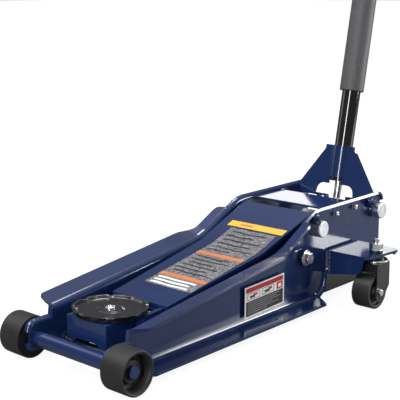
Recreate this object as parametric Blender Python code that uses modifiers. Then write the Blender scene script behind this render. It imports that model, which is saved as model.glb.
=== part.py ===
"""Hydraulic trolley jack, modelled as separate solids in metres.

The jack frame has +X to its right side, +Y to the rear, where the handle stands, and +Z up, with the front
axle at Y = 0 and the floor at Z = 0.  ROOT_SHIFT then centres the finished jack over the world origin.
"""
import math

import bmesh
import bpy
from mathutils import Matrix, Vector

# ---- driving dimensions -------------------------------------------------------------------------------
GAP = 0.0003                  # between pieces that touch
RUN = 0.0003                  # radial running clearance of pins and shafts
PLAY = 0.001                  # sideways play of a moving piece

SIDE_X = 0.093                # outer face of a side plate
SIDE_T = 0.005                # side plate's wall
FLANGE_X = SIDE_X + 0.0335    # outer edge of the top flange
FLANGE_RISE = 0.22            # rise of the top flange for each metre outward
FOOT_X = SIDE_X + 0.0345      # outer edge of the bottom flange
LUG_BACK_Y = 0.033            # where the front lug meets the plate's front edge
LUG_FRONT_Y = -0.017
LUG_TOP_Z = 0.062
PLATE_LOW_Z = 0.0175          # underside of the side plates
PLATE_FRONT_Z = 0.079         # top flange at the front edge
SHOULDER_Y = 0.404            # where the top edge turns up to the tower
SHOULDER_Z = 0.123
FLANGE_END_Y = 0.489          # rear tip of the top flange
TOWER_Y = 0.520               # where the tower turns level
TOWER_Z = 0.180
REAR_Y = 0.752                # rear edge of the side plates
STEP_Y = 0.545                # where the low part of the plate ends
STEP_Z = 0.060                # underside of the rear part

WHEEL_R = 0.035
WHEEL_W = 0.045
WHEEL_X = SIDE_X + 0.0015     # inner face of a front wheel
AXLE_R = 0.013                # axle bar between the lugs
JOURNAL_R = 0.011             # axle end inside lug and wheel

ARM_PIVOT_Y = 0.535
ARM_PIVOT_Z = 0.147
ARM_PIVOT_R = 0.0155
ARM_TIP_Y = 0.100             # front pin of the arm
ARM_TIP_Z = 0.068
ARM_PIN_R = 0.007
ARM_FRONT_X = 0.062           # half width of the arm's top plate at the front
ARM_REAR_X = SIDE_X - 0.015   # half width of the arm at the rear
ARM_WEB_X = 0.057             # outer face of the arm's side wall
ARM_FRONT_Y = 0.148
ARM_FRONT_Z = 0.084
ARM_BEND_Y = 0.385
ARM_BEND_Z = 0.125
ARM_REAR_Y = 0.530
ARM_REAR_Z = 0.176
ARM_T = 0.006

ROD_PIVOT_Y = 0.490           # rear bolt of a tie rod
ROD_PIVOT_Z = 0.101
ROD_X = SIDE_X - 0.013        # middle of a tie rod
ROD_T = 0.007
ROD_BOLT_R = 0.006

SADDLE_Y = 0.081
SADDLE_Z = 0.0890             # rim of the saddle
SADDLE_R = 0.0625
BLOCK_X = 0.045               # half width of the saddle block
BLOCK_LOW_Z = 0.038
BLOCK_TOP_Z = 0.0790
BLOCK_FRONT_Y = 0.027
STEM_R = 0.010

RAM_Z = 0.077
RAM_R = 0.013
LEVER_R = 0.075               # radius of the arm's lower lever
LEVER_REST = math.radians(-30)
RAM_PIN_R = 0.009

CYLINDER_Y = 0.612            # front end of the ram cylinder
BLOCK_Y = 0.645               # front face of the pump block
UNIT_REAR_Y = 0.702
TANK_X = SIDE_X - 0.011
TANK_Z = 0.056

YOKE_Y = 0.730                # handle yoke's pivot
YOKE_Z = 0.150
YOKE_BOLT_R = 0.010
HANDLE_LEAN = math.radians(12.0)
TUBE_R = 0.0185
TUBE_WALL = 0.0015
FOAM_R = 0.0245
COLLAR_Z = 0.117              # yoke collar's top, along the handle from the pivot
FOAM_START = 0.230
FOAM_END = 0.800
GRIP_START = 0.960
HANDLE_END = 1.100            # handle's end, from the yoke's pivot
CAP_R = 0.0215
PUMP_X = 0.034
PISTON_R = 0.0065
ROLLER_ARM = 0.030
ROLLER_REST = math.radians(-22.5)
ROLLER_R = 0.008
PISTON_GAP = 0.0008           # between a roller and its piston at rest
VALVE_R = 0.005
VALVE_DEPTH = 0.046           # reach of the release valve's stem from the yoke's pivot
VALVE_DIRECTION = (0, -math.cos(math.radians(30)), -math.sin(math.radians(30)))

CASTER_X = SIDE_X + 0.073
CASTER_Y = 0.612
CASTER_TRAIL = 0.021
CASTER_R = 0.032
CASTER_W = 0.036
SHELF_Z = 0.100               # top of a caster bracket
SHELF_T = 0.005
SHELF_FRONT_Y = 0.566
SHELF_REAR_Y = 0.664
SHELF_X = CASTER_X + 0.022
FORK_TOP_Z = 0.085

COVER_FRONT_Y = 0.568
COVER_REAR_Y = 0.656
COVER_T = 0.004

HANDLE_DIRECTION = Vector((0, math.sin(HANDLE_LEAN), math.cos(HANDLE_LEAN)))
YOKE_PIVOT = Vector((0, YOKE_Y, YOKE_Z))
FRONT_EXTENT = -WHEEL_R
REAR_EXTENT = YOKE_Y + HANDLE_END * math.sin(HANDLE_LEAN) + CAP_R * math.cos(HANDLE_LEAN)
ROOT_SHIFT = -(FRONT_EXTENT + REAR_EXTENT) / 2

PAINT = ("navy_paint", (0.016, 0.034, 0.115), 0.25, 0.0)
CASTING = ("black_casting", (0.012, 0.012, 0.014), 0.25, 0.0)
NYLON = ("grey_nylon", (0.035, 0.036, 0.038), 0.55, 0.0)
ZINC = ("bright_zinc", (0.62, 0.63, 0.64), 0.30, 1.0)
STEEL = ("machined_steel", (0.50, 0.50, 0.50), 0.25, 1.0)
TUBE = ("black_tube", (0.012, 0.012, 0.014), 0.12, 0.0)
FOAM = ("grey_foam", (0.055, 0.056, 0.060), 0.85, 0.0)
TANK = ("black_tank", (0.014, 0.014, 0.016), 0.45, 0.0)
RUBBER = ("black_rubber", (0.02, 0.02, 0.02), 0.75, 0.0)


# ---- scene and object helpers -------------------------------------------------------------------------
def clear_scene():
    for obj in list(bpy.data.objects):
        bpy.data.objects.remove(obj, do_unlink=True)


def new_collection(name):
    collection = bpy.data.collections.new(name)
    bpy.context.scene.collection.children.link(collection)
    return collection


def empty(name, place, parent=None):
    obj = bpy.data.objects.new(name, None)
    obj.empty_display_size = 0.03
    obj.location = place
    if parent:
        obj.parent = parent
    JACK.objects.link(obj)
    return obj


def body(name, pivot):
    """An empty on a moving body's joint, given in the jack frame."""
    return empty(name, Vector(pivot), ROOT)


def material(look):
    name, colour, roughness, metallic = look
    found = bpy.data.materials.get(name)
    if found:
        return found
    made = bpy.data.materials.new(name)
    made.use_nodes = True
    shader = made.node_tree.nodes["Principled BSDF"]
    shader.inputs["Base Color"].default_value = (*colour, 1.0)
    shader.inputs["Roughness"].default_value = roughness
    shader.inputs["Metallic"].default_value = metallic
    return made


def attach(obj, owner):
    """Parent an object to a body's empty, keeping its mesh in the jack frame."""
    obj.parent = owner
    offset = Vector() if owner is ROOT else owner.location
    obj.matrix_parent_inverse = Matrix.Translation(-offset)


def node(name, obj, look, owner):
    """Finish an object as one named sub-part of a body."""
    obj.name = name
    obj.data.name = name
    obj.data.materials.clear()
    obj.data.materials.append(material(look))
    attach(obj, owner)
    for modifier in obj.modifiers:
        if modifier.type == "BOOLEAN":
            attach(modifier.object, owner)
    obj.data.shade_smooth()
    obj.data.set_sharp_from_angle(angle=math.radians(35))
    return obj


def mesh_object(name, mesh):
    obj = bpy.data.objects.new(name, mesh)
    JACK.objects.link(obj)
    return obj


def combine(target, operation, *tools):
    """Join or cut the target with other objects, which become hidden cutters."""
    for tool in tools:
        for modifier in tool.modifiers:
            if modifier.type == "BOOLEAN":
                raise ValueError("a tool is a plain shape")
        modifier = target.modifiers.new(operation.title(), "BOOLEAN")
        modifier.operation = operation
        modifier.solver = "EXACT"
        modifier.object = tool
        JACK.objects.unlink(tool)
        CUTTERS.objects.link(tool)
        tool.hide_render = True
        tool.display_type = "WIRE"
    return target


def join(target, *tools):
    return combine(target, "UNION", *tools)


def cut(target, *tools):
    return combine(target, "DIFFERENCE", *tools)


# ---- shapes, all placed in the jack frame --------------------------------------------------------------
TURN = {"X": Matrix.Rotation(math.pi / 2, 4, "Y"),
        "Y": Matrix.Rotation(-math.pi / 2, 4, "X"),
        "Z": Matrix.Identity(4)}
SHEET = {"X": Matrix(((0, 0, 1, 0), (1, 0, 0, 0), (0, 1, 0, 0), (0, 0, 0, 1))),
         "Y": Matrix(((1, 0, 0, 0), (0, 0, -1, 0), (0, 1, 0, 0), (0, 0, 0, 1))),
         "Z": Matrix.Identity(4)}


def box(low, high, bevel=0.0):
    """A box between two opposite corners, with its edges bevelled."""
    size = Vector(abs(b - a) for a, b in zip(low, high))
    middle = (Vector(high) + Vector(low)) / 2
    shape = bmesh.new()
    bmesh.ops.create_cube(shape, size=1.0, matrix=Matrix.Translation(middle) @ Matrix.Diagonal((*size, 1)))
    if bevel:
        bmesh.ops.bevel(shape, geom=shape.edges[:], offset=bevel, segments=2, profile=0.5, affect="EDGES")
    mesh = bpy.data.meshes.new("box")
    shape.to_mesh(mesh)
    shape.free()
    return mesh_object("box", mesh)


def rod(axis, radius, start, end, place, sides=24):
    """A cylinder along a world axis; place holds the other two coordinates in X, Y, Z order."""
    middle = list(place)
    middle.insert("XYZ".index(axis), (start + end) / 2)
    shape = bmesh.new()
    matrix = Matrix.Translation(middle) @ TURN[axis]
    bmesh.ops.create_cone(shape, cap_ends=True, segments=sides, radius1=radius, radius2=radius,
                          depth=abs(end - start), matrix=matrix)
    mesh = bpy.data.meshes.new("rod")
    shape.to_mesh(mesh)
    shape.free()
    return mesh_object("rod", mesh)


def rod_along(direction, radius, start, end, origin=YOKE_PIVOT, sides=24):
    """A cylinder along any direction, between two distances from an origin."""
    direction = Vector(direction).normalized()
    turn = Vector((0, 0, 1)).rotation_difference(direction).to_matrix().to_4x4()
    shape = bmesh.new()
    matrix = Matrix.Translation(origin + direction * (start + end) / 2) @ turn
    bmesh.ops.create_cone(shape, cap_ends=True, segments=sides, radius1=radius, radius2=radius,
                          depth=end - start, matrix=matrix)
    mesh = bpy.data.meshes.new("rod")
    shape.to_mesh(mesh)
    shape.free()
    return mesh_object("rod", mesh)


def turned(profile, closed, matrix, steps=28):
    """A profile of (radius, height) points, run top to bottom down its outer side, turned about Z."""
    mesh = bpy.data.meshes.new("turned")
    edges = [(i, i + 1) for i in range(len(profile) - 1)]
    if closed:
        edges.append((len(profile) - 1, 0))
    mesh.from_pydata([(radius, 0, height) for radius, height in profile], edges, [])
    obj = mesh_object("turned", mesh)
    screw = obj.modifiers.new("Screw", "SCREW")
    screw.axis = "Z"
    screw.steps = steps
    screw.render_steps = steps
    screw.use_merge_vertices = True
    screw.merge_threshold = 0.00005
    return settle(obj, matrix)


def settle(obj, matrix):
    """Replace an object by its evaluated mesh, moved into place, with loose doubles welded."""
    evaluated = obj.evaluated_get(bpy.context.evaluated_depsgraph_get())
    mesh = bpy.data.meshes.new_from_object(evaluated)
    mesh.transform(matrix)
    bpy.data.objects.remove(obj, do_unlink=True)
    shape = bmesh.new()
    shape.from_mesh(mesh)
    bmesh.ops.remove_doubles(shape, verts=shape.verts[:], dist=0.00002)
    bmesh.ops.dissolve_degenerate(shape, edges=shape.edges[:], dist=0.00001)
    shape.to_mesh(mesh)
    shape.free()
    mesh.materials.clear()
    return mesh_object("settled", mesh)


def rounded(corners, arc_steps=5):
    """Points of a closed outline whose corners are (x, y, fillet radius)."""
    points = []
    count = len(corners)
    for index, (x, y, radius) in enumerate(corners):
        here = Vector((x, y))
        if not radius:
            points.append(here)
            continue
        before = Vector(corners[index - 1][:2]) - here
        after = Vector(corners[(index + 1) % count][:2]) - here
        half = before.angle(after) / 2
        reach = radius / math.tan(half)
        middle = (before.normalized() + after.normalized()).normalized()
        centre = here + middle * radius / math.sin(half)
        start = here + before.normalized() * reach - centre
        end = here + after.normalized() * reach - centre
        turn = start.angle_signed(end)
        for step in range(arc_steps + 1):
            points.append(centre + Matrix.Rotation(-turn * step / arc_steps, 2) @ start)
    return points


def sheet(axis, start, end, outline, holes=(), hole_sides=24):
    """A flat outline with round holes (x, y, radius), extruded along an axis from start to end."""
    curve = bpy.data.curves.new("outline", "CURVE")
    curve.dimensions = "2D"
    curve.fill_mode = "BOTH"
    curve.extrude = abs(end - start) / 2
    loops = [outline]
    for x, y, radius in holes:
        angles = [math.tau * step / hole_sides for step in range(hole_sides)]
        loops.append([(x + radius * math.cos(angle), y + radius * math.sin(angle)) for angle in angles])
    for loop in loops:
        spline = curve.splines.new("POLY")
        spline.points.add(len(loop) - 1)
        for point, (x, y) in zip(spline.points, loop):
            point.co = (x, y, 0, 1)
        spline.use_cyclic_u = True
    obj = bpy.data.objects.new("outline", curve)
    JACK.objects.link(obj)
    sign = -1 if axis == "Y" else 1
    lift = Matrix.Translation((0, 0, sign * (start + end) / 2))
    return settle(obj, SHEET[axis] @ lift)


def ring(axis, outer, inner, start, end, place, sides=24):
    """A tube along a world axis."""
    low, high = sorted((start, end))
    profile = [(inner, high), (outer, high), (outer, low), (inner, low)]
    centre = list(place)
    centre.insert("XYZ".index(axis), 0)
    return turned(profile, True, Matrix.Translation(centre) @ TURN[axis], sides)


def hexagon(axis, across, start, end, place):
    """A hexagon bar along a world axis."""
    return rod(axis, across / 2 / math.cos(math.pi / 6), start, end, place, sides=6)


# ---- chassis -----------------------------------------------------------------------------------------
def plate_top():
    """The top edge of a side plate, front to rear."""
    return [(LUG_BACK_Y, PLATE_FRONT_Z, 0), (SHOULDER_Y, SHOULDER_Z, 0.26), (TOWER_Y, TOWER_Z, 0.05)]


def side_plate(side):
    """Pressed side plate with a front lug, a top flange and a bottom flange, all turned outward."""
    inner = side * (SIDE_X - SIDE_T)
    outer = side * SIDE_X
    web = rounded([(LUG_FRONT_Y, PLATE_LOW_Z, 0.012), (STEP_Y - 0.009, PLATE_LOW_Z, 0.003),
                   (STEP_Y + 0.011, 0.030, 0.020), (STEP_Y + 0.017, STEP_Z, 0.005),
                   (REAR_Y, STEP_Z, 0.010), (REAR_Y, TOWER_Z, 0.014), *reversed(plate_top()),
                   (LUG_BACK_Y, LUG_TOP_Z, 0.004), (LUG_FRONT_Y, LUG_TOP_Z, 0.014)])
    holes = [(0, WHEEL_R, JOURNAL_R + RUN), (ARM_PIVOT_Y, ARM_PIVOT_Z, ARM_PIVOT_R + RUN),
             (ROD_PIVOT_Y, ROD_PIVOT_Z, ROD_BOLT_R + RUN), (YOKE_Y, YOKE_Z, YOKE_BOLT_R + RUN)]
    plate = sheet("X", inner, outer, web, holes)
    skim = 0.0003
    edge = [(y, z + skim) for y, z in rounded([(TOWER_Y + 0.03, TOWER_Z, 0), *reversed(plate_top())])]
    low_edge = [(y, z - SIDE_T) for y, z in reversed(edge)]
    flange = sheet("X", side * (SIDE_X - SIDE_T / 2), side * FLANGE_X, edge + low_edge)
    root_x = SIDE_X - 0.002
    plan = rounded([(side * (SIDE_X - 0.01), LUG_BACK_Y - 0.01, 0), (side * root_x, LUG_BACK_Y, 0),
                    (side * (FLANGE_X + 0.001), LUG_BACK_Y + 0.010, 0),
                    (side * (FLANGE_X + 0.001), SHOULDER_Y - 0.019, 0.03),
                    (side * (SIDE_X + 0.018), SHOULDER_Y + 0.016, 0.02),
                    (side * (SIDE_X + 0.018), FLANGE_END_Y - 0.003, 0.012),
                    (side * (SIDE_X - 0.01), FLANGE_END_Y, 0)])
    combine(flange, "INTERSECT", sheet("Z", 0.02, TOWER_Z + 0.02, plan))
    flange = settle(flange, Matrix.Identity(4))
    for vertex in flange.data.vertices:
        vertex.co.z += (abs(vertex.co.x) - root_x) * FLANGE_RISE
    foot_plan = [(side * (SIDE_X - SIDE_T / 2), 0.045), (side * (FOOT_X - 0.004), 0.045),
                 (side * FOOT_X, 0.052), (side * FOOT_X, STEP_Y - 0.035),
                 (side * (SIDE_X + 0.004), STEP_Y - 0.012), (side * (SIDE_X - SIDE_T / 2), STEP_Y - 0.013)]
    foot = sheet("Z", PLATE_LOW_Z - skim, PLATE_LOW_Z - skim + SIDE_T, foot_plan)
    join(plate, flange, foot)
    return plate


def front_axle():
    """Round bar between the lugs, stepped down to a journal at each end."""
    shoulder = SIDE_X - SIDE_T - GAP
    end = WHEEL_X + WHEEL_W - 0.006
    profile = [(0, end), (JOURNAL_R - 0.002, end), (JOURNAL_R, end - 0.002), (JOURNAL_R, shoulder),
               (AXLE_R, shoulder), (AXLE_R, -shoulder), (JOURNAL_R, -shoulder), (JOURNAL_R, 0.002 - end),
               (JOURNAL_R - 0.002, -end), (0, -end)]
    return turned(profile, False, Matrix.Translation((0, 0, WHEEL_R)) @ TURN["X"])


def top_cover():
    """Cover over the pump between the side plates, its sides turned down and its front corners cut."""
    half = SIDE_X - SIDE_T - GAP
    top = TOWER_Z - 0.0015
    cover = box((-half, COVER_FRONT_Y, top - COVER_T), (half, COVER_REAR_Y, top))
    for side in (-1, 1):
        join(cover, box((side * half, COVER_FRONT_Y + 0.006, top - 0.022),
                        (side * (half - COVER_T), COVER_REAR_Y, top - 0.001)))
    join(cover, box((0.001 - half, COVER_REAR_Y - COVER_T, top - 0.012),
                    (half - 0.001, COVER_REAR_Y, top - 0.001)))
    return cover


def caster_bracket(side):
    """Shelf with a turned-down front, welded outside a side plate; the caster's stud goes through it."""
    near = side * (SIDE_X + GAP)
    plan = rounded([(near, SHELF_FRONT_Y, 0), (side * (SHELF_X - 0.012), SHELF_FRONT_Y, 0.010),
                    (side * SHELF_X, SHELF_REAR_Y, 0.012), (near, SHELF_REAR_Y, 0)])
    shelf = sheet("Z", SHELF_Z - SHELF_T, SHELF_Z, plan, [(side * CASTER_X, CASTER_Y, 0.0065)])
    face = rounded([(near, SHELF_Z - 0.001, 0), (side * (SHELF_X - 0.022), SHELF_Z - 0.001, 0),
                    (side * (SHELF_X - 0.026), 0.066, 0.012), (near, 0.054, 0)])
    front = SHELF_FRONT_Y + 0.0005
    lip = box((side * (SIDE_X + 0.020), SHELF_REAR_Y - 0.0045, SHELF_Z - 0.012),
              (side * (SHELF_X - 0.010), SHELF_REAR_Y - 0.0005, SHELF_Z - 0.001))
    return join(shelf, sheet("Y", front, front + SHELF_T, face), lip)


def lock_tab(side, y, z, radius, angle):
    """Small plate hooked into a slot near a shaft's end, to stop the shaft turning."""
    start = SIDE_X + GAP
    reach = radius + 0.012
    turn = Matrix.Rotation(angle, 2)
    corners = [(-0.007, radius + 0.0005), (0.007, radius + 0.0005),
               (0.007, reach + 0.007), (-0.007, reach + 0.007)]
    moved = [(*(turn @ Vector(corner) + Vector((y, z))), 0.002) for corner in corners]
    bolt = turn @ Vector((0, reach)) + Vector((y, z))
    return sheet("X", side * start, side * (start + 0.004), rounded(moved, 3)), bolt


def shaft_lock(side, y, z, radius, angle):
    """A lock tab with its small hexagon bolt."""
    tab, bolt = lock_tab(side, y, z, radius, angle)
    start = SIDE_X + GAP + 0.003
    return join(tab, hexagon("X", 0.010, side * start, side * (start + 0.007), bolt))


def power_unit():
    """Pump block with bores for the ram and both pump pistons."""
    block = box((-0.058, BLOCK_Y, TANK_Z + GAP), (0.058, UNIT_REAR_Y, 0.136), 0.003)
    cut(block, rod("Y", RAM_R + RUN, BLOCK_Y - 0.01, UNIT_REAR_Y - 0.003, (0, RAM_Z)))
    for side in (-1, 1):
        place = (side * PUMP_X, piston_z())
        cut(block, rod("Y", PISTON_R + RUN, BLOCK_Y + 0.003, UNIT_REAR_Y + 0.01, place, 20))
    return cut(block, rod_along(VALVE_DIRECTION, VALVE_R + RUN, 0.015, VALVE_DEPTH + 0.002, sides=20))


def piston_z():
    return YOKE_Z - ROLLER_ARM * math.cos(ROLLER_REST)


def roller_y():
    return YOKE_Y - ROLLER_ARM * math.sin(ROLLER_REST)


# ---- moving bodies -------------------------------------------------------------------------------------
def front_wheel(side):
    """Nylon wheel with a dished outer face and a hub round the journal."""
    out = WHEEL_W
    hub = JOURNAL_R + RUN
    profile = [(hub, out - 0.012), (0.016, out - 0.012), (0.018, out - 0.020), (0.025, out - 0.020),
               (0.028, out - 0.003), (0.0295, out), (0.033, out), (WHEEL_R, out - 0.003), (WHEEL_R, 0.003),
               (0.033, 0), (hub, 0)]
    turn = TURN["X"] if side > 0 else Matrix.Rotation(math.pi, 4, "Z") @ TURN["X"]
    place = Matrix.Translation((side * WHEEL_X, 0, WHEEL_R))
    return turned(profile, True, place @ turn, 32)


def arm_top_point(y):
    """Height of the arm's top plate over a given Y."""
    if y < ARM_BEND_Y:
        share = (y - ARM_FRONT_Y) / (ARM_BEND_Y - ARM_FRONT_Y)
        return ARM_FRONT_Z + share * (ARM_BEND_Z - ARM_FRONT_Z)
    share = (y - ARM_BEND_Y) / (ARM_REAR_Y - ARM_BEND_Y)
    return ARM_BEND_Z + share * (ARM_REAR_Z - ARM_BEND_Z)


def arm_web(side):
    """Side wall of the lifting arm: from the front pin's eye to the boss round the pivot shaft."""
    lower = 0.046
    outline = rounded([
        (ARM_TIP_Y - 0.0105, ARM_TIP_Z - 0.0115, 0.009), (0.210, arm_top_point(0.210) - lower, 0.02),
        (0.420, arm_top_point(0.420) - lower, 0.02), (ARM_PIVOT_Y - 0.01, ARM_PIVOT_Z - 0.027, 0.02),
        (ARM_PIVOT_Y + 0.027, ARM_PIVOT_Z - 0.020, 0.018), (ARM_PIVOT_Y + 0.024, ARM_PIVOT_Z + 0.022, 0.018),
        (ARM_REAR_Y - 0.002, ARM_REAR_Z - ARM_T / 2, 0), (ARM_BEND_Y, ARM_BEND_Z - ARM_T / 2, 0),
        (ARM_FRONT_Y, ARM_FRONT_Z - ARM_T / 2, 0), (ARM_TIP_Y - 0.0105, ARM_TIP_Z + 0.010, 0.0097)])
    outer = ARM_WEB_X
    holes = [(ARM_PIVOT_Y, ARM_PIVOT_Z, ARM_PIVOT_R + RUN), (ARM_TIP_Y, ARM_TIP_Z, ARM_PIN_R + RUN)]
    return sheet("X", side * (outer - 0.008), side * outer, outline, holes)


def lift_arm():
    """Fabricated arm: tapered top plate bent near its rear, two side walls and two lower levers."""
    side_view = [(ARM_FRONT_Y, ARM_FRONT_Z), (ARM_BEND_Y, ARM_BEND_Z), (ARM_REAR_Y, ARM_REAR_Z),
                 (ARM_REAR_Y, ARM_REAR_Z - ARM_T), (ARM_BEND_Y, ARM_BEND_Z - ARM_T),
                 (ARM_FRONT_Y, ARM_FRONT_Z - ARM_T)]
    arm = sheet("X", -ARM_REAR_X - 0.001, ARM_REAR_X + 0.001, side_view)
    plan = [(-ARM_FRONT_X, ARM_FRONT_Y - 0.001), (ARM_FRONT_X, ARM_FRONT_Y - 0.001),
            (ARM_REAR_X, ARM_REAR_Y + 0.001), (-ARM_REAR_X, ARM_REAR_Y + 0.001)]
    combine(arm, "INTERSECT", sheet("Z", 0.05, 0.20, plan))
    arm = settle(arm, Matrix.Identity(4))
    join(arm, arm_web(-1), arm_web(1))
    join(arm, box((-0.055, 0.141, 0.0715), (0.055, 0.170, 0.0765)))
    pin = ram_pin_place()
    for side in (-1, 1):
        lever = rounded([(pin.x + 0.014, pin.y - 0.014, 0.013), (pin.x + 0.0128, pin.y + 0.0131, 0.0042),
                         (ARM_PIVOT_Y + 0.026, ARM_PIVOT_Z + 0.010, 0.02),
                         (ARM_PIVOT_Y - 0.020, ARM_PIVOT_Z + 0.024, 0.02),
                         (ARM_PIVOT_Y - 0.026, ARM_PIVOT_Z - 0.014, 0.02),
                         (pin.x - 0.015, pin.y - 0.014, 0.013)])
        holes = [(ARM_PIVOT_Y, ARM_PIVOT_Z, ARM_PIVOT_R + RUN), (pin.x, pin.y, RAM_PIN_R + RUN)]
        join(arm, sheet("X", side * 0.022, side * 0.030, lever, holes))
        boss = ring("X", 0.021, ARM_PIVOT_R + RUN, side * 0.029, side * 0.050, (ARM_PIVOT_Y, ARM_PIVOT_Z), 28)
        join(arm, boss)
    return arm


def ram_pin_place():
    """The ram pin's place at rest, as (Y, Z)."""
    return Vector((ARM_PIVOT_Y - LEVER_R * math.sin(LEVER_REST),
                   ARM_PIVOT_Z - LEVER_R * math.cos(LEVER_REST)))


def crosshead():
    """Block on the ram's nose with an upright slot for the arm's pin and an ear for each spring."""
    pin = ram_pin_place()
    slot = RAM_PIN_R + 0.0011
    outline = rounded([(pin.x - 0.017, 0.0595, 0.004), (pin.x + 0.032, 0.0595, 0.004),
                       (pin.x + 0.032, 0.0975, 0.004), (pin.x - 0.017, 0.0975, 0.004)])
    block = sheet("X", -0.020, 0.020, outline)
    cut(block, sheet("X", -0.03, 0.03, rounded([
        (pin.x - slot, 0.0615, 0.008), (pin.x + slot, 0.0615, 0.008),
        (pin.x + slot, 0.0935, 0.008), (pin.x - slot, 0.0935, 0.008)])))
    join(block, box((-0.075, pin.x + 0.0245, 0.063), (0.075, pin.x + 0.0305, 0.079), 0.001))
    return block


def ram():
    """Ram rod, from the crosshead back into the cylinder."""
    start = ram_pin_place().x + 0.032 + GAP
    return rod("Y", RAM_R, start, UNIT_REAR_Y - 0.006, (0, RAM_Z))


def tie_rod(side):
    """Flat link under the arm that keeps the saddle level."""
    tip_y = ROD_PIVOT_Y + ARM_TIP_Y - ARM_PIVOT_Y
    tip_z = ROD_PIVOT_Z + ARM_TIP_Z - ARM_PIVOT_Z
    along = Vector((tip_y - ROD_PIVOT_Y, tip_z - ROD_PIVOT_Z)).normalized()
    across = Vector((-along.y, along.x))
    rear = Vector((ROD_PIVOT_Y, ROD_PIVOT_Z))
    front = Vector((tip_y, tip_z))
    half = 0.011
    fillet = half * 0.95
    corners = [(*(rear - (along - across) * half), fillet), (*(rear - (along + across) * half), fillet),
               (*(front + (along - across) * half), fillet), (*(front + (along + across) * half), fillet)]
    holes = [(*rear, ROD_BOLT_R + RUN), (*front, ROD_BOLT_R + 0.0008)]
    return sheet("X", side * (ROD_X - ROD_T / 2), side * (ROD_X + ROD_T / 2), rounded(corners), holes)


def saddle_block():
    """Fabricated block that carries the saddle, open below, with an arched front."""
    back = ARM_TIP_Y + 0.026
    low = BLOCK_LOW_Z
    block = box((-BLOCK_X, BLOCK_FRONT_Y, low), (BLOCK_X, back, BLOCK_TOP_Z), 0.0015)
    wall = 0.007
    cut(block, box((wall - BLOCK_X, BLOCK_FRONT_Y + wall, 0.0),
                   (BLOCK_X - wall, back + 0.02, BLOCK_TOP_Z - 0.008)))
    tip_y = ROD_PIVOT_Y + ARM_TIP_Y - ARM_PIVOT_Y
    tip_z = ROD_PIVOT_Z + ARM_TIP_Z - ARM_PIVOT_Z
    for side in (-1, 1):
        lug = rounded([(tip_y - 0.012, tip_z - 0.010, 0.009), (tip_y + 0.012, tip_z - 0.010, 0.009),
                       (tip_y + 0.020, low + 0.010, 0), (tip_y - 0.020, low + 0.010, 0)])
        join(block, sheet("X", side * (BLOCK_X - wall + 0.0002), side * (BLOCK_X - 0.0002), lug))
    arch = rounded([(-0.034, 0.02, 0), (0.034, 0.02, 0), (0.030, 0.044, 0.012), (-0.030, 0.044, 0.012)])
    cut(block, sheet("Y", BLOCK_FRONT_Y - 0.01, BLOCK_FRONT_Y + wall + 0.005, arch))
    cut(block, rod("X", ARM_PIN_R + RUN, -0.1, 0.1, (ARM_TIP_Y, ARM_TIP_Z)))
    cut(block, rod("X", ROD_BOLT_R + RUN, -0.1, 0.1, (tip_y, tip_z)))
    cut(block, rod("Z", STEM_R + RUN, 0.05, 0.1, (0, SADDLE_Y)))
    return block


def saddle():
    """Cast dish with a raised rim, a centre boss and a stem through the block."""
    base = BLOCK_TOP_Z + GAP
    floor = base + 0.004
    profile = [(0, floor + 0.0025), (0.017, floor + 0.0025), (0.020, floor), (0.052, floor),
               (0.056, SADDLE_Z - 0.002), (0.058, SADDLE_Z), (SADDLE_R - 0.001, SADDLE_Z),
               (SADDLE_R, SADDLE_Z - 0.002), (SADDLE_R - 0.002, base + 0.004), (0.050, base),
               (STEM_R, base), (STEM_R, BLOCK_TOP_Z - 0.012), (0, BLOCK_TOP_Z - 0.012)]
    return turned(profile, False, Matrix.Translation((0, SADDLE_Y, 0)), 36)


def caster_fork(side):
    """Pressed swivel fork under a bearing race, with a threaded stud."""
    x = side * CASTER_X
    axle_y = CASTER_Y - CASTER_TRAIL
    leg_in = CASTER_W / 2 + PLAY
    leg_t = 0.003
    front = CASTER_Y - 0.031
    back = CASTER_Y + 0.014
    edge = leg_in + leg_t
    top = sheet("Z", FORK_TOP_Z - leg_t, FORK_TOP_Z, rounded([
        (x - edge, front, 0.004), (x + edge, front, 0.004),
        (x + edge, back, 0.004), (x - edge, back, 0.004)]))
    for way in (-1, 1):
        leg = rounded([(back - 0.001, FORK_TOP_Z - 0.001, 0), (front + 0.001, FORK_TOP_Z - 0.001, 0),
                       (front + 0.001, CASTER_R + 0.016, 0.004), (axle_y - 0.013, CASTER_R + 0.002, 0.006),
                       (axle_y - 0.010, CASTER_R - 0.016, 0.010), (axle_y + 0.008, CASTER_R - 0.020, 0.006),
                       (back - 0.001, CASTER_R + 0.008, 0.006)])
        join(top, sheet("X", x + way * leg_in, x + way * (leg_in + leg_t), leg,
                        [(axle_y, CASTER_R, 0.004 + RUN)]))
    join(top, box((x - edge + 0.001, front + 0.0003, CASTER_R * 2 + 0.004),
                  (x + edge - 0.001, front + leg_t, FORK_TOP_Z - 0.001)))
    join(top, rod("Z", 0.021, FORK_TOP_Z - 0.001, FORK_TOP_Z + 0.004, (x, CASTER_Y), 32))
    join(top, rod("Z", 0.016, FORK_TOP_Z + 0.001, SHELF_Z - SHELF_T - GAP, (x, CASTER_Y)))
    join(top, rod("Z", 0.006, FORK_TOP_Z, SHELF_Z + 0.026, (x, CASTER_Y), 20))
    return top


def caster_nut(side):
    """Thick washer and lock nut on the stud, above the shelf."""
    x = side * CASTER_X
    low = SHELF_Z + GAP
    nut = rod("Z", 0.0125, low, low + 0.0055, (x, CASTER_Y))
    join(nut, hexagon("Z", 0.022, low + 0.005, low + 0.0175, (x, CASTER_Y)))
    return cut(nut, rod("Z", 0.006 + RUN, low - 0.01, low + 0.03, (x, CASTER_Y), 20))


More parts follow.
